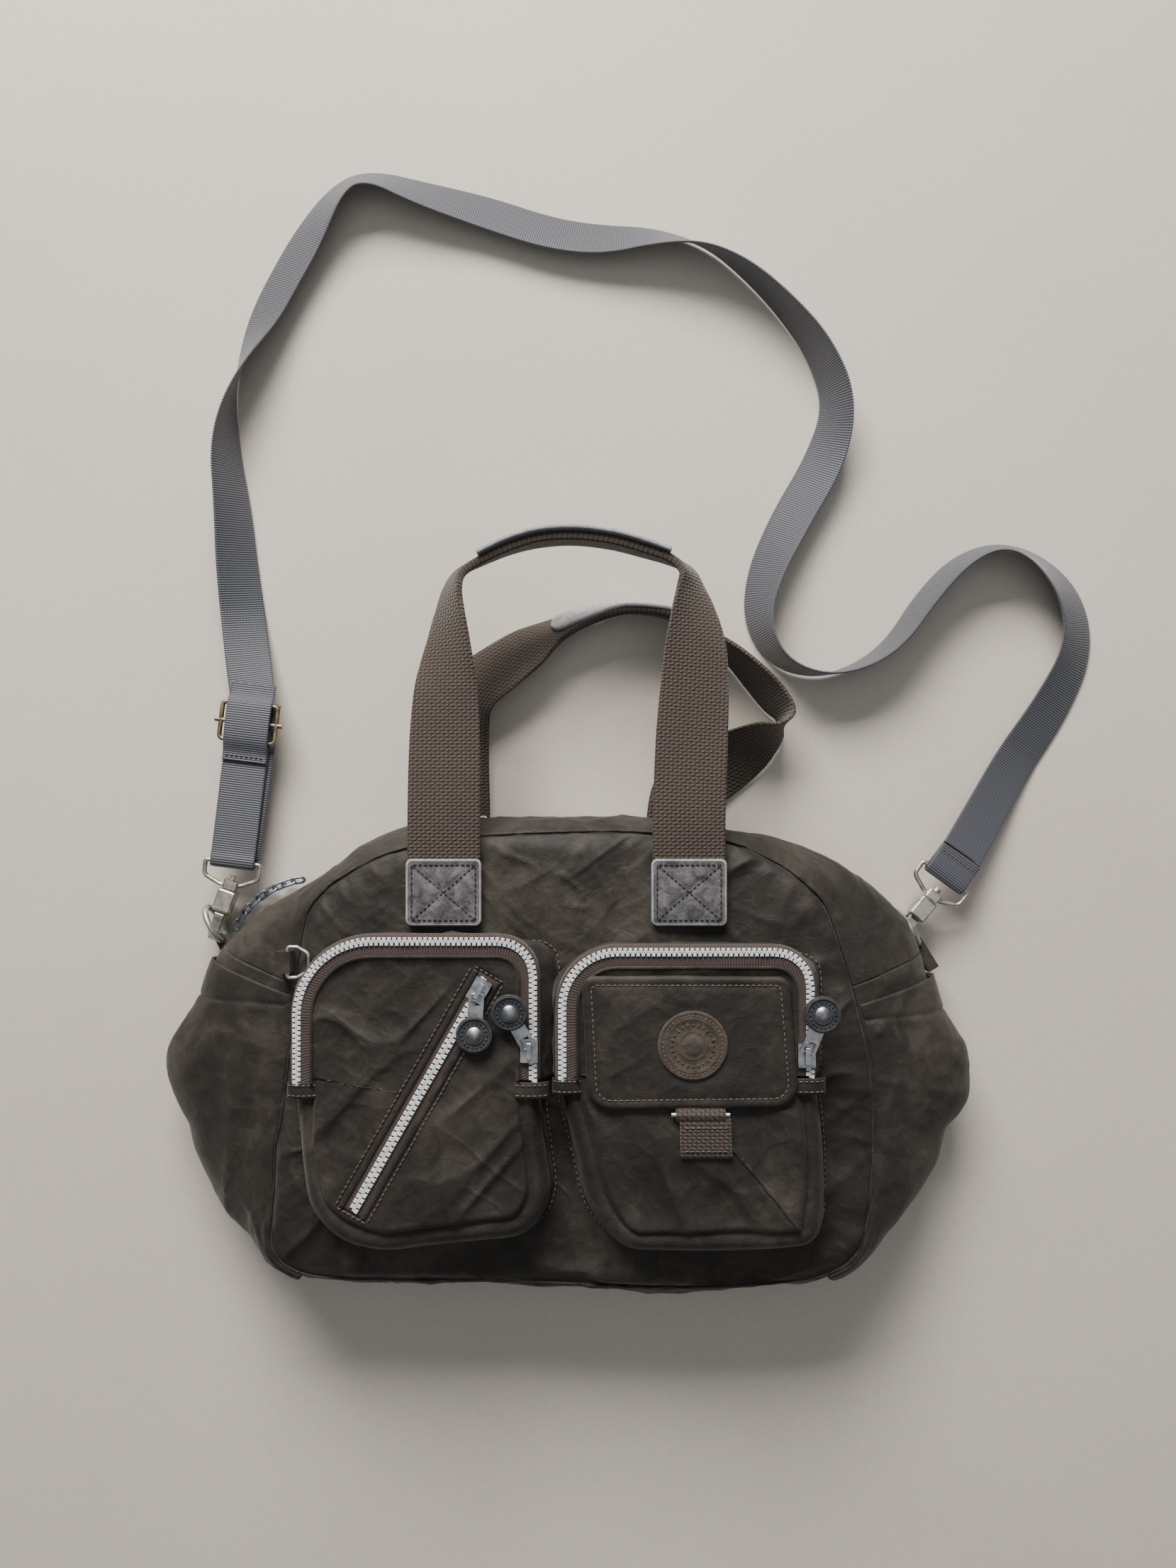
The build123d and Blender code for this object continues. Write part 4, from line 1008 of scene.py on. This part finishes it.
def make_diagonal_zip():
    def run(offset, z, low=-1.5, high=DIAGONAL_LENGTH + 1.5, count=120):
        s = np.linspace(low, high, count)
        flat = DIAGONAL_START + DIAGONAL_ALONG * s[:, None] + DIAGONAL_ACROSS * offset
        return at_height(flat, z)

    up = np.tile(UP, (120, 1))
    side = np.tile([*DIAGONAL_ACROSS, 0.0], (120, 1))
    tape = sweep("diagonal_zip_tape_band", run(0, 84.35), side, up, 11.6, 0.6, "zip_tape", ring=12)
    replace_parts(tape, "diagonal_zip_tape")
    parts = Parts()
    zip_teeth(parts, run(0, 84.65, 0.5, DIAGONAL_LENGTH - 1), up)
    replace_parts(parts.piece("diagonal_zip_teeth_rows", "zip_teeth", smooth=False), "diagonal_zip_teeth")
    thread = Parts()
    for name, sign in (("left", 1), ("right", -1)):
        wave = 0.18 * noise(run(0, 0), 11, 3 if sign > 0 else 5)
        welt = run(6.3 * sign, 85.1) + side * wave[:, None]
        sweep("diagonal_zip_welt_" + name, welt, side, up, 2.6, 1.3, "bag_fabric", ring=12, round_share=0.75)
        thread.stitches(run(9.2 * sign, 85.35), 2.9, 0.36)
    for s in (-2.6, DIAGONAL_LENGTH + 2.6):
        ends = [DIAGONAL_START + DIAGONAL_ALONG * s + DIAGONAL_ACROSS * n for n in (-8.5, 8.5)]
        thread.stitches(at_height(np.linspace(ends[0], ends[1], 12), 85.4), 2.8, 0.36)
    thread.piece("diagonal_zip_thread", "thread", slot="bag_fabric")


# ---- Flap, badge and pull tab ----

BADGE_CENTRE = np.array([63.9, 22.8])
BADGE_Z = 88.7
BAR_Y = -12.3


def make_flap():
    corners = [(8.5, 57.2), (112.5, 57.2), (116.5, -8.5), (11, -9.5)]
    radii = (6, 6, 12, 12)
    out = level_normals(rounded_ring(corners, radii, 0))
    centre = np.array([62.0, 24.0])
    profile = ((0.0, 86.3), (-0.15, 87.2), (0.05, 88.1), (0.8, 88.75), (2.2, 88.95), (3.6, 88.75),
               (4.4, 88.45), (5.4, 88.7), (8.0, 88.9))
    rings = [at_height(rounded_ring(corners, radii, inset), z) for inset, z in profile]
    inner = rings[-1]
    for step in range(1, 41):
        ring = inner.copy()
        ring[:, :2] = centre + (inner[:, :2] - centre) * (1 - step / 40)
        rings.append(ring)
    grid = np.stack(rings)
    inwards = np.clip(np.arange(len(rings))[:, None] / 12 - 0.2, 0, 1)
    badge = smoothstep(np.linalg.norm(grid[..., :2] - BADGE_CENTRE, axis=-1), 17, 24)
    height = wrinkles(grid, 120, 0.9, 0.5) * inwards * badge - 0.3 * (1 - badge)
    grid[..., 2] += np.clip(height, -1.2, 0.9)
    edge = 0.35 * noise(grid, 22, 5) * (1 - inwards)
    grid[..., :2] += out[None] * edge[..., None]
    piece = cloth_piece("flap_skin", grid, "bag_fabric", closed=True, flip=True, thick=0.9, body="flap")
    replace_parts(piece, "flap")
    thread = Parts()
    stitched = at_height(rounded_ring(corners, radii, 4.4), 88.72)
    thread.stitches(np.vstack([stitched, stitched[:1]]), 2.9, 0.36)
    thread.piece("flap_thread", "thread", body="flap", slot="bag_fabric")


def make_badge():
    """A round leather badge with plain raised rings, a dotted border and a domed middle."""
    profile = [(0, 2.1), (3.6, 2.1), (4.4, 1.7), (5.0, 1.45), (5.7, 1.15), (6.4, 1.1), (7.0, 1.45),
               (7.6, 1.1), (8.2, 1.05), (12.6, 1.05), (13.2, 1.45), (13.9, 1.45), (14.5, 1.05),
               (15.6, 1.05), (16.2, 1.4), (16.9, 1.3), (17.4, 0.8), (17.4, 0.0)]
    count = 96
    angles = np.linspace(0, 2 * math.pi, count, endpoint=False)
    rays = np.column_stack([np.cos(angles), np.sin(angles)])
    rings = np.stack([at_height(BADGE_CENTRE + r * rays, BADGE_Z + z) for r, z in profile])
    rings[1:-1, :, 2] += 0.12 * noise(rings[1:-1], 3.0, 7)
    piece = make_piece("badge_disc", rings.reshape(-1, 3), grid_faces(len(profile), count, closed=True),
                       "badge_leather", body="flap")
    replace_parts(piece, "flap_badge")
    dots = Parts()
    for k in range(24):
        angle = 2 * math.pi * k / 24
        ray = np.array([math.cos(angle), math.sin(angle)])
        near, far = (9.3, 11.6) if k % 2 else (9.9, 11.0)
        start, end = BADGE_CENTRE + ray * near, BADGE_CENTRE + ray * far
        dots.capsule((*start, BADGE_Z + 1.05), (*end, BADGE_Z + 1.05), 0.55)
    dots.piece("badge_ticks", "badge_leather", body="flap")
    thread = Parts()
    ring = at_height(BADGE_CENTRE + 15.0 * rays, BADGE_Z + 1.15)
    thread.stitches(np.vstack([ring, ring[:1]]), 2.2, 0.3)
    thread.piece("badge_thread", "thread", body="flap", slot="badge_leather")


def make_pull_tab():
    """Webbing sewn under the flap, folded round a metal bar and sewn to itself."""
    upper = smooth_line([(68, -6.5, 87.0), (68, -9.5, 87.6), (68, BAR_Y, 89.6), (68.4, -15.4, 88.2)], 24)
    lower = smooth_line([(70.0, -14.0, 88.3), (70.4, -17.0, 88.5), (70.6, -26, 88.1), (71, -31.5, 87.7),
                         (71.2, -34.0, 86.8), (71.2, -32.5, 85.9), (71, -26, 86.1)], 60)
    side = np.array([1.0, 0.0, 0.0])
    pieces = []
    for name, line, width in (("pull_tab_upper", upper, 25.0), ("pull_tab_lower", lower, 26.0)):
        sides = np.tile(side, (len(line), 1))
        ups = crossed(sides, tangents(line))
        pieces.append(sweep(name, line, sides, ups, width, 1.9, "handle_webbing", body="flap", ring=18,
                            round_share=0.35))
    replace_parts(pieces[0], "flap_pull_tab")
    thread = Parts()
    for y, z in ((-18.6, 89.6), (-30.5, 89.0)):
        thread.stitches(np.column_stack([np.linspace(60, 82, 12), np.full(12, y), np.full(12, z)]), 2.6, 0.36)
    thread.piece("pull_tab_thread", "thread", body="flap", slot="handle_webbing")


# ---- Handles ----

def handle_frames(stations, count):
    """Stations hold a point, a roll about the line, a width and a thickness. Roll 0 lies flat."""
    data = smooth_line([(*point, roll, width, thick) for point, roll, width, thick in stations], count)
    line = data[:, :3]
    along = tangents(line)
    side = crossed(along, np.tile(UP, (count, 1)))
    up = crossed(side, along)
    roll = np.radians(data[:, 3])[:, None]
    sides = side * np.cos(roll) + up * np.sin(roll)
    return line, sides, crossed(sides, along), data[:, 4], data[:, 5]


def make_front_handle():
    stations = [
        ((-64, 81, 64.3), 0, 38, 2.3), ((-64, 98, 64.3), 0, 38, 2.3), ((-64, 113, 65.0), 0, 38, 2.3),
        ((-63.9, 140, 65.5), 0, 38, 2.3), ((-63.8, 175, 63), 3, 37.5, 2.3),
        ((-63.6, 203, 61), 10, 34.5, 2.4), ((-62.8, 228, 58.5), 32, 29, 2.9),
        ((-62.4, 244, 56.5), 48, 25.5, 3.4), ((-61.2, 257, 54.5), 62, 22, 4.2),
        ((-57, 266, 53), 74, 20, 4.8), ((-46.5, 272.6, 52), 82, 19, 5.0),
        ((-30, 279.6, 52), 86, 19, 5.0), ((-14, 283.8, 52), 90, 19, 5.0), ((4, 284.9, 52), 90, 19, 5.0),
        ((24, 282.6, 52), 90, 19, 5.0), ((42, 277.8, 52), 88, 19, 5.0),
        ((56, 273.2, 52), 84, 19.5, 5.0), ((64.6, 266.5, 53), 68, 21, 4.6),
        ((66.8, 256, 55), 46, 24.5, 3.6), ((67.8, 243, 57.5), 28, 29, 2.9),
        ((68.2, 226, 60), 14, 34, 2.5), ((67.2, 203, 61.8), 5, 36.5, 2.4),
        ((65.6, 175, 63.5), 1, 38, 2.3), ((64.2, 140, 65.5), 0, 38, 2.3), ((64, 113, 65.0), 0, 38, 2.3),
        ((64, 98, 64.3), 0, 38, 2.3), ((64, 81, 64.3), 0, 38, 2.3)]
    line, sides, ups, widths, thicks = handle_frames(stations, 420)
    web = sweep("front_handle_webbing", line, sides, ups, widths, thicks, "handle_webbing", body=None,
                ring=28, round_share=0.3)
    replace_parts(web, "front_handle", "handle_tails")
    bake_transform(web)
    grip = [((-47, 275.0, 53.0), 94, 20.5, 1.3), ((-31, 282.3, 53.0), 95, 21, 1.3),
            ((-14.5, 286.8, 53.0), 96, 21, 1.3), ((4, 288.0, 53.0), 96, 21, 1.3),
            ((24.6, 285.6, 53.0), 96, 21, 1.3), ((43, 280.6, 53.0), 95, 21, 1.3),
            ((55, 276.4, 53.0), 94, 20.5, 1.3)]
    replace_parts(make_liner("front", grip), "front_grip")


def make_liner(which, stations):
    """The suede lining on a grip's outer side, with a pale raised edge along its top."""
    line, sides, ups, widths = handle_frames(stations, 120)[:4]
    liner = sweep(which + "_grip_liner", line, sides, ups, widths, 1.8, "suede_edge", body=which + "_handle",
                  ring=14, round_share=0.6)
    edge = line + sides * widths[:, None] / 2
    sweep(which + "_grip_edge", edge, sides, ups, 1.7, 2.3, "suede_edge", body=which + "_handle",
          ring=10, round_share=1.0)
    return liner


def make_rear_handle():
    stations = [
        ((-64, 81, 2.7), 0, 38, 2.2), ((-64, 110, 2.6), 0, 38, 2.2), ((-64, 140, 2.6), 0, 38, 2.2),
        ((-64, 172, 3.4), 3, 37, 2.2), ((-61, 195, 7), 16, 36, 2.3), ((-52.9, 209, 10.4), 26, 35, 2.4),
        ((-38, 220.5, 12.0), 30, 34, 2.5), ((-22, 231.5, 12.4), 36, 31, 3.0),
        ((-6, 241.5, 12.0), 52, 23, 4.0), ((12, 248.6, 11.4), 66, 20, 4.6),
        ((34, 252.5, 11.2), 82, 19, 4.6), ((56, 250, 11.2), 86, 19, 4.6),
        ((74, 241, 11.4), 92, 21, 4.0), ((92, 228, 11.8), 106, 25, 3.0),
        ((107, 213, 12.0), 116, 27, 2.6), ((116.5, 202, 12.2), 118, 27, 2.5),
        ((122.2, 193, 12.2), 106, 27, 2.5), ((119.5, 185.0, 12.6), 72, 30, 2.5),
        ((109, 178, 11.2), 44, 33, 2.4), ((95, 169, 8.2), 24, 36, 2.3), ((80, 160, 4.8), 8, 38, 2.2),
        ((68, 150, 2.9), 0, 38, 2.2), ((64, 134, 2.6), 0, 38, 2.2), ((64, 110, 2.6), 0, 38, 2.2),
        ((64, 81, 2.7), 0, 38, 2.2)]
    line, sides, ups, widths, thicks = handle_frames(stations, 460)
    lift = np.maximum(0, 1.0 - (line[:, 2] - np.abs(sides[:, 2]) * widths / 2 - thicks / 2))
    line[:, 2] += lift * smoothstep(line[:, 1], 150, 170)
    web = sweep("rear_handle_webbing", line, sides, ups, widths, thicks, "handle_webbing", body=None, ring=28,
                round_share=0.3)
    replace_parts(web, "rear_handle")
    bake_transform(web)
    grip = [((-9.5, 243.6, 14.4), 46, 2, 1.3), ((-6.5, 244.9, 14.6), 48, 12, 1.3),
            ((2, 248.6, 14.4), 54, 14.5, 1.3), ((12, 251.7, 13.6), 64, 17, 1.3),
            ((22, 254.3, 12.6), 74, 19, 1.3), ((34, 255.7, 12.0), 82, 20.5, 1.3),
            ((54, 253.6, 11.8), 86, 20.5, 1.3), ((64, 250.0, 11.8), 88, 20, 1.3)]
    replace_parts(make_liner("rear", grip), "rear_grip")


PATCH_MID_Y = 97.5
PATCH_HALF = (19.6, 17.4)
PATCH_RADII = (3.2, 3.2, 3.2, 3.2)


def make_patch(name, x_mid, z, face_up):
    """A suede patch with a pale rubbed edge and box-and-cross stitching."""
    sign = 1 if face_up else -1
    half_x, half_y = PATCH_HALF
    low, high = PATCH_MID_Y - half_y, PATCH_MID_Y + half_y
    corners = [(x_mid - half_x, high), (x_mid + half_x, high), (x_mid + half_x, low), (x_mid - half_x, low)]
    profile = ((0.0, 0.0), (-0.1, 0.8), (0.3, 1.45), (1.0, 1.6), (2.4, 1.25), (3.2, 1.3), (5.0, 1.45))
    rings = []
    for inset, rise in profile:
        rings.append(at_height(rounded_ring(corners, PATCH_RADII, inset), z + sign * rise))
    count = len(rings[0])
    inner = rings[-1]
    for step in range(1, 17):
        ring = inner.copy()
        middle = np.array([x_mid, PATCH_MID_Y])
        ring[:, :2] = middle + (inner[:, :2] - middle) * (1 - step / 16)
        rings.append(ring)
    grid = np.stack(rings)
    quilt = np.abs(np.abs(grid[..., 0] - x_mid) * half_y / half_x - np.abs(grid[..., 1] - PATCH_MID_Y))
    inner_part = np.clip(np.arange(len(rings))[:, None] / 6 - 0.8, 0, 1)
    height = (0.7 * smoothstep(quilt, 0.3, 4.5) + 0.45 * noise(grid, 5.0, 9 + x_mid)) * inner_part
    grid[..., 2] += sign * height
    faces = grid_faces(len(rings), count, closed=True, flip=not face_up)
    piece = make_piece(name, grid.reshape(-1, 3), faces, "suede")
    piece.data.materials.append(LOOKS["suede_edge"])
    rim = 3 * count
    for polygon in piece.data.polygons[:rim]:
        polygon.material_index = 1
    thread = Parts()
    top = z + sign * 1.7
    box_x, box_y = half_x - 3.0, half_y - 3.0
    square = [(-box_x, -box_y), (box_x, -box_y), (box_x, box_y), (-box_x, box_y), (-box_x, -box_y)]
    rows = [square[k:k + 2] for k in range(4)] + [[square[0], square[2]], [square[1], square[3]]]
    for start, end in rows:
        points = np.linspace(start, end, 20) + np.array([x_mid, PATCH_MID_Y])
        thread.stitches(at_height(points, top), 2.7, 0.34)
    thread.piece(name + "_thread", "patch_thread", slot="suede")
    return piece


def make_patches():
    places = (("front_left_patch", -64.0, 65.3, True), ("front_right_patch", 64.0, 65.3, True),
              ("rear_left_patch", -64.0, 2.9, False), ("rear_right_patch", 64.0, 2.9, False))
    pieces = [make_patch(*place) for place in places]
    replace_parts(pieces[0], "handle_patches")


# ---- Shoulder strap ----

STRAP_WIDTH = 25.0
STRAP_THICK = 1.5
RIGHT_JOIN = (222.28, 114.53)
LEFT_JOIN = (-177.63, 201.34)
LEFT_BAR = (-188.76, 109.98)
RIGHT_BAR = (212.94, 101.54)
LEFT_STRAP_AWAY = np.array([0.121, 0.993])
RIGHT_STRAP_AWAY = np.array([0.584, 0.812])
# Each point: x, y, height of the strap's middle, and how far the strap leans over from standing on its edge.
STRAP_ROUTE = [
    (*RIGHT_JOIN, 15.6, 88), (238, 138, 8.5, 84), (256, 167.5, 3.6, 78), (276.5, 198, 4.6, 70),
    (291.5, 230, 6.8, 58), (287.5, 259, 8.2, 50), (268, 281, 10.8, 32), (244.5, 290, 12.4, 12),
    (222.5, 281, 12.0, 18), (203, 260, 12.0, 20), (185, 233, 12.2, 16), (163, 219, 12.5, 10),
    (140, 215, 12.7, 0), (118.5, 223.5, 12.6, -10), (107, 245.5, 11.6, -27), (111, 272.5, 9.2, -46),
    (127, 305, 6.3, -62), (147.5, 339.5, 6.6, -60), (154.5, 371, 10.8, -34), (142.5, 401, 11.8, -22),
    (122.5, 425.5, 12.5, -10), (100.5, 446, 12.7, 0), (76.5, 460.5, 12.0, 20), (48, 465.5, 9.4, 44),
    (18, 464.5, 6.4, 62), (-12, 469, 5.7, 65), (-46.5, 480.5, 5.7, 65), (-84, 490.5, 8.2, 52),
    (-112, 499.5, 10.4, 36), (-130, 494, 10.2, 38), (-150, 464, 6.4, 62), (-173, 422, 6.7, 60),
    (-190, 379, 12.5, 12), (-194.5, 345, 11.6, -24), (-190.5, 312, 10.2, -38), (-188.5, 276, 8.2, -52),
    (-184.5, 238, 6.0, -70), (*LEFT_JOIN, 15.6, -88)]


def nurbs_line(points):
    """Points along a smooth NURBS line that has these as its control points."""
    curve = bpy.data.curves.new("route", "CURVE")
    curve.dimensions = "3D"
    curve.resolution_u = 14
    spline = curve.splines.new("NURBS")
    spline.points.add(len(points) - 1)
    for target, point in zip(spline.points, points):
        target.co = (*point, 1.0)
    spline.order_u = 3
    spline.use_endpoint_u = True
    holder = bpy.data.objects.new("route", curve)
    bpy.context.scene.collection.objects.link(holder)
    graph = bpy.context.evaluated_depsgraph_get()
    mesh = bpy.data.meshes.new_from_object(holder.evaluated_get(graph))
    line = np.array([tuple(v.co) for v in mesh.vertices])
    bpy.data.objects.remove(holder)
    bpy.data.curves.remove(curve)
    bpy.data.meshes.remove(mesh)
    return line


def strap_band(name, line, sides, ups):
    return sweep(name, line, sides, ups, STRAP_WIDTH, STRAP_THICK, "strap_webbing", ring=20, round_share=0.3)


def level_band(name, line, side):
    """Strap webbing whose width lies level, along `side`."""
    sides = np.tile(side, (len(line), 1))
    return strap_band(name, line, sides, crossed(sides, tangents(line)))


def flat_end(name, bar, away, top_length, low_length, shift):
    """Webbing that comes along, folds round the loop's bar and returns under itself."""
    side = np.array([away[1], -away[0], 0.0])
    stations = [(top_length, 17.2), (top_length * 0.6, 17.4), (8, 17.6), (2, 18.3), (-1.9, 17.7),
                (-2.9, 16.0), (-1.9, 14.3), (2, 13.9), (8, 14.7), (low_length * 0.6, 14.8),
                (low_length, 15.2)]
    points = []
    for index, (reach, z) in enumerate(stations):
        drift = shift * max(0, index - 6) / 4
        place = np.array(bar) + away * reach
        points.append((place[0] + side[0] * drift, place[1] + side[1] * drift, z))
    return level_band(name, smooth_line(points, 140), side)


def make_strap():
    line = nurbs_line([(x * MM, y * MM, z * MM) for x, y, z, lean in STRAP_ROUTE]) / MM
    count = 900
    line = spaced(line, count)
    knots = np.array([(x, y) for x, y, z, lean in STRAP_ROUTE], float)
    nearest = [int(np.argmin(np.linalg.norm(line[:, :2] - knot, axis=1))) for knot in knots]
    leans = np.interp(np.arange(count), nearest, [lean for x, y, z, lean in STRAP_ROUTE])
    kernel = np.hanning(41)
    padded = np.concatenate([np.full(20, leans[0]), leans, np.full(20, leans[-1])])
    lean = np.radians(np.convolve(padded, kernel / kernel.sum(), mode="valid"))[:, None]
    along = tangents(line)
    level = crossed(np.tile(UP, (count, 1)), along)
    upright = crossed(along, level)
    sides = upright * np.cos(lean) + level * np.sin(lean)
    lowest = line[:, 2] - np.abs(sides[:, 2]) * STRAP_WIDTH / 2 - 0.9
    line[:, 2] += np.maximum(0, FLOOR_GAP - lowest)
    strap = strap_band("shoulder_strap", line, sides, crossed(sides, along))
    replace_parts(strap, "strap_run")
    left = flat_end("strap_left_fold", LEFT_BAR, LEFT_STRAP_AWAY, 76.0, 91.0, 3.4)
    right = flat_end("strap_right_fold", RIGHT_BAR, RIGHT_STRAP_AWAY, 15.0, 17.0, 0.0)
    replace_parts(left, "strap_ends")
    low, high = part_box("strap_adjuster")
    middle = (np.array(low) + np.array(high)) / 2 / MM
    away, side = LEFT_STRAP_AWAY, np.array([LEFT_STRAP_AWAY[1], -LEFT_STRAP_AWAY[0], 0.0])
    rise = [(22, 17.4), (16, 18.3), (11, 21.1), (6, 21.8), (0, 22.0), (-6, 21.8), (-11, 21.1),
            (-17, 19.0), (-22, 18.9)]
    bridge = smooth_line([(middle[0] + away[0] * s, middle[1] + away[1] * s, z) for s, z in rise], 60)
    over = level_band("strap_over_adjuster", bridge, side)
    thread = Parts()
    points = np.linspace(-11, 11, 12)[:, None] * side[:2] + middle[:2] - away * 19
    thread.stitches(at_height(points, 19.9), 2.6, 0.4)
    for bar, away, reach, z in ((LEFT_BAR, LEFT_STRAP_AWAY, 66, 18.3), (LEFT_BAR, LEFT_STRAP_AWAY, 70, 18.3),
                                (RIGHT_BAR, RIGHT_STRAP_AWAY, 11.5, 18.2)):
        side = np.array([away[1], -away[0]])
        points = np.linspace(-11, 11, 12)[:, None] * side + np.array(bar) + away * reach
        thread.stitches(at_height(points, z), 2.6, 0.34)
    stitched = thread.piece("strap_thread", "thread", slot="strap_webbing")
    print("strap length mm", round(line_length(line), 1))


# ---- Main zip on the gusset behind the top edge ----

def make_main_zip(body_side):
    """Tape and teeth on the gusset, half way up its lower slope."""
    columns = np.where((mid_line[:, 1] > 80) & (np.abs(mid_line[:, 0]) < 136))[0]
    columns = columns[np.argsort(mid_line[columns, 0])]
    line = []
    for column in columns:
        wall = body_side[SIDE_ROWS // 2:, column]
        line.append([np.interp(17.0, wall[::-1, 2], wall[::-1, k]) for k in range(3)])
    line = smooth_line(np.array(line)[::8], ZIP_POINTS)
    lean = math.atan2(5.5, 16.0)
    along = tangents(line)
    outwards = crossed(np.tile(UP, (ZIP_POINTS, 1)), along)
    ups = outwards * math.cos(lean) - UP * math.sin(lean)
    sides = crossed(along, ups)
    tape = sweep("main_zip_tape_band", line, sides, ups, 11.0, 1.0, "zip_tape", ring=12)
    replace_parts(tape, "main_zip_tape")
    parts = Parts()
    zip_teeth(parts, line + ups * 0.4, ups)
    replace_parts(parts.piece("main_zip_teeth_rows", "zip_teeth", smooth=False), "main_zip_teeth")


def make_disc_marks(prefix):
    """A raised rim and plain ticks round a pull's rubber disc."""
    disc = NODES[prefix + "_disc"]
    points = np.array([tuple(disc.matrix_world @ v.co) for v in disc.data.vertices]) / MM
    middle = (points.min(axis=0) + points.max(axis=0)) / 2
    axes = np.linalg.svd(points - middle)[2]
    up = axes[2] * (1 if axes[2][2] > 0 else -1)
    reach = np.linalg.norm(np.cross(points - middle, up), axis=1)
    rim = points[reach > reach.max() * 0.9]
    middle = rim.mean(axis=0)
    middle = middle + up * np.max((rim - middle) @ up)
    side = crossed(up, np.array([0.0, 1.0, 0.0]))
    other = crossed(up, side)
    parts = Parts()
    angles = np.linspace(0, 2 * math.pi, 49)
    radius = reach.max()
    for share, thick in ((0.88, 0.42), (0.50, 0.30)):
        ring = middle + radius * share * (np.outer(np.cos(angles), side) + np.outer(np.sin(angles), other))
        for a, b in zip(ring, ring[1:]):
            parts.capsule(a, b + (b - a) * 0.35, thick)
    for k in range(18):
        ray = math.cos(math.pi * k / 9) * side + math.sin(math.pi * k / 9) * other
        parts.capsule(middle + ray * radius * 0.62, middle + ray * radius * 0.76, 0.34)
    parts.piece(prefix + "_disc_marks", "disc_rubber", body=prefix + "_puller")


# ---- Carried-over CAD nodes get their materials ----

NODE_LOOKS = {
    "ring_metal": ("left_ring", "right_ring", "front_d_ring"),
    "hook_metal": ("left_hook", "right_hook", "left_gate", "right_gate", "hook_loops", "flap_bar"),
    "brass_metal": ("strap_adjuster",),
    "chain_metal": ("charm_chain",),
    "bag_fabric": ("ring_tabs",),
    "fastener_pad": ("flap_pad", "pocket_pad"),
}


def dress_nodes():
    for look, names in NODE_LOOKS.items():
        for name in names:
            set_look(name, look)
    for prefix in ("main_zip", "left_pocket_zip", "diagonal_zip", "right_pocket_zip"):
        set_look(prefix + "_slider", "slider_metal")
        set_look(prefix + "_puller", "slider_metal")
        set_look(prefix + "_disc", "disc_rubber")


def set_look(name, look):
    materials = NODES[name].data.materials
    if len(materials) == 0:
        materials.append(LOOKS[look])
    for index in range(len(materials)):
        materials[index] = LOOKS[look]


def make_floor():
    corners = [(x * FLOOR_HALF, y * FLOOR_HALF, 0) for x, y in ((-1, -1), (1, -1), (1, 1), (-1, 1))]
    mesh = bpy.data.meshes.new("floor")
    mesh.from_pydata(corners, [], [(0, 1, 2, 3)])
    mesh.materials.append(floor_look())
    floor = bpy.data.objects.new("floor", mesh)
    bpy.context.scene.collection.objects.link(floor)


make_camera()
make_floor()
make_light("window", (-0.35, 1.85, 1.15), (0.0, 0.10, 0.0), (1.3, 0.8), 96, (1.0, 0.97, 0.93))
make_light("sky", (0.1, 0.3, 2.4), (0.0, 0.15, 0.0), (2.6, 2.6), 11, (0.95, 0.97, 1.0))
side_grid = make_body()
make_side_pockets()
make_pocket(LEFT_POCKET)
make_pocket(RIGHT_POCKET)
make_diagonal_zip()
make_flap()
make_badge()
make_pull_tab()
make_front_handle()
make_rear_handle()
make_patches()
make_strap()
make_main_zip(side_grid)
for prefix in ("left_pocket_zip", "diagonal_zip", "right_pocket_zip"):
    make_disc_marks(prefix)
dress_nodes()

world = bpy.data.worlds.new("world")
world.use_nodes = True
world.node_tree.nodes["Background"].inputs["Color"].default_value = (0.80, 0.83, 0.88, 1.0)
world.node_tree.nodes["Background"].inputs["Strength"].default_value = 0.18
bpy.context.scene.world = world
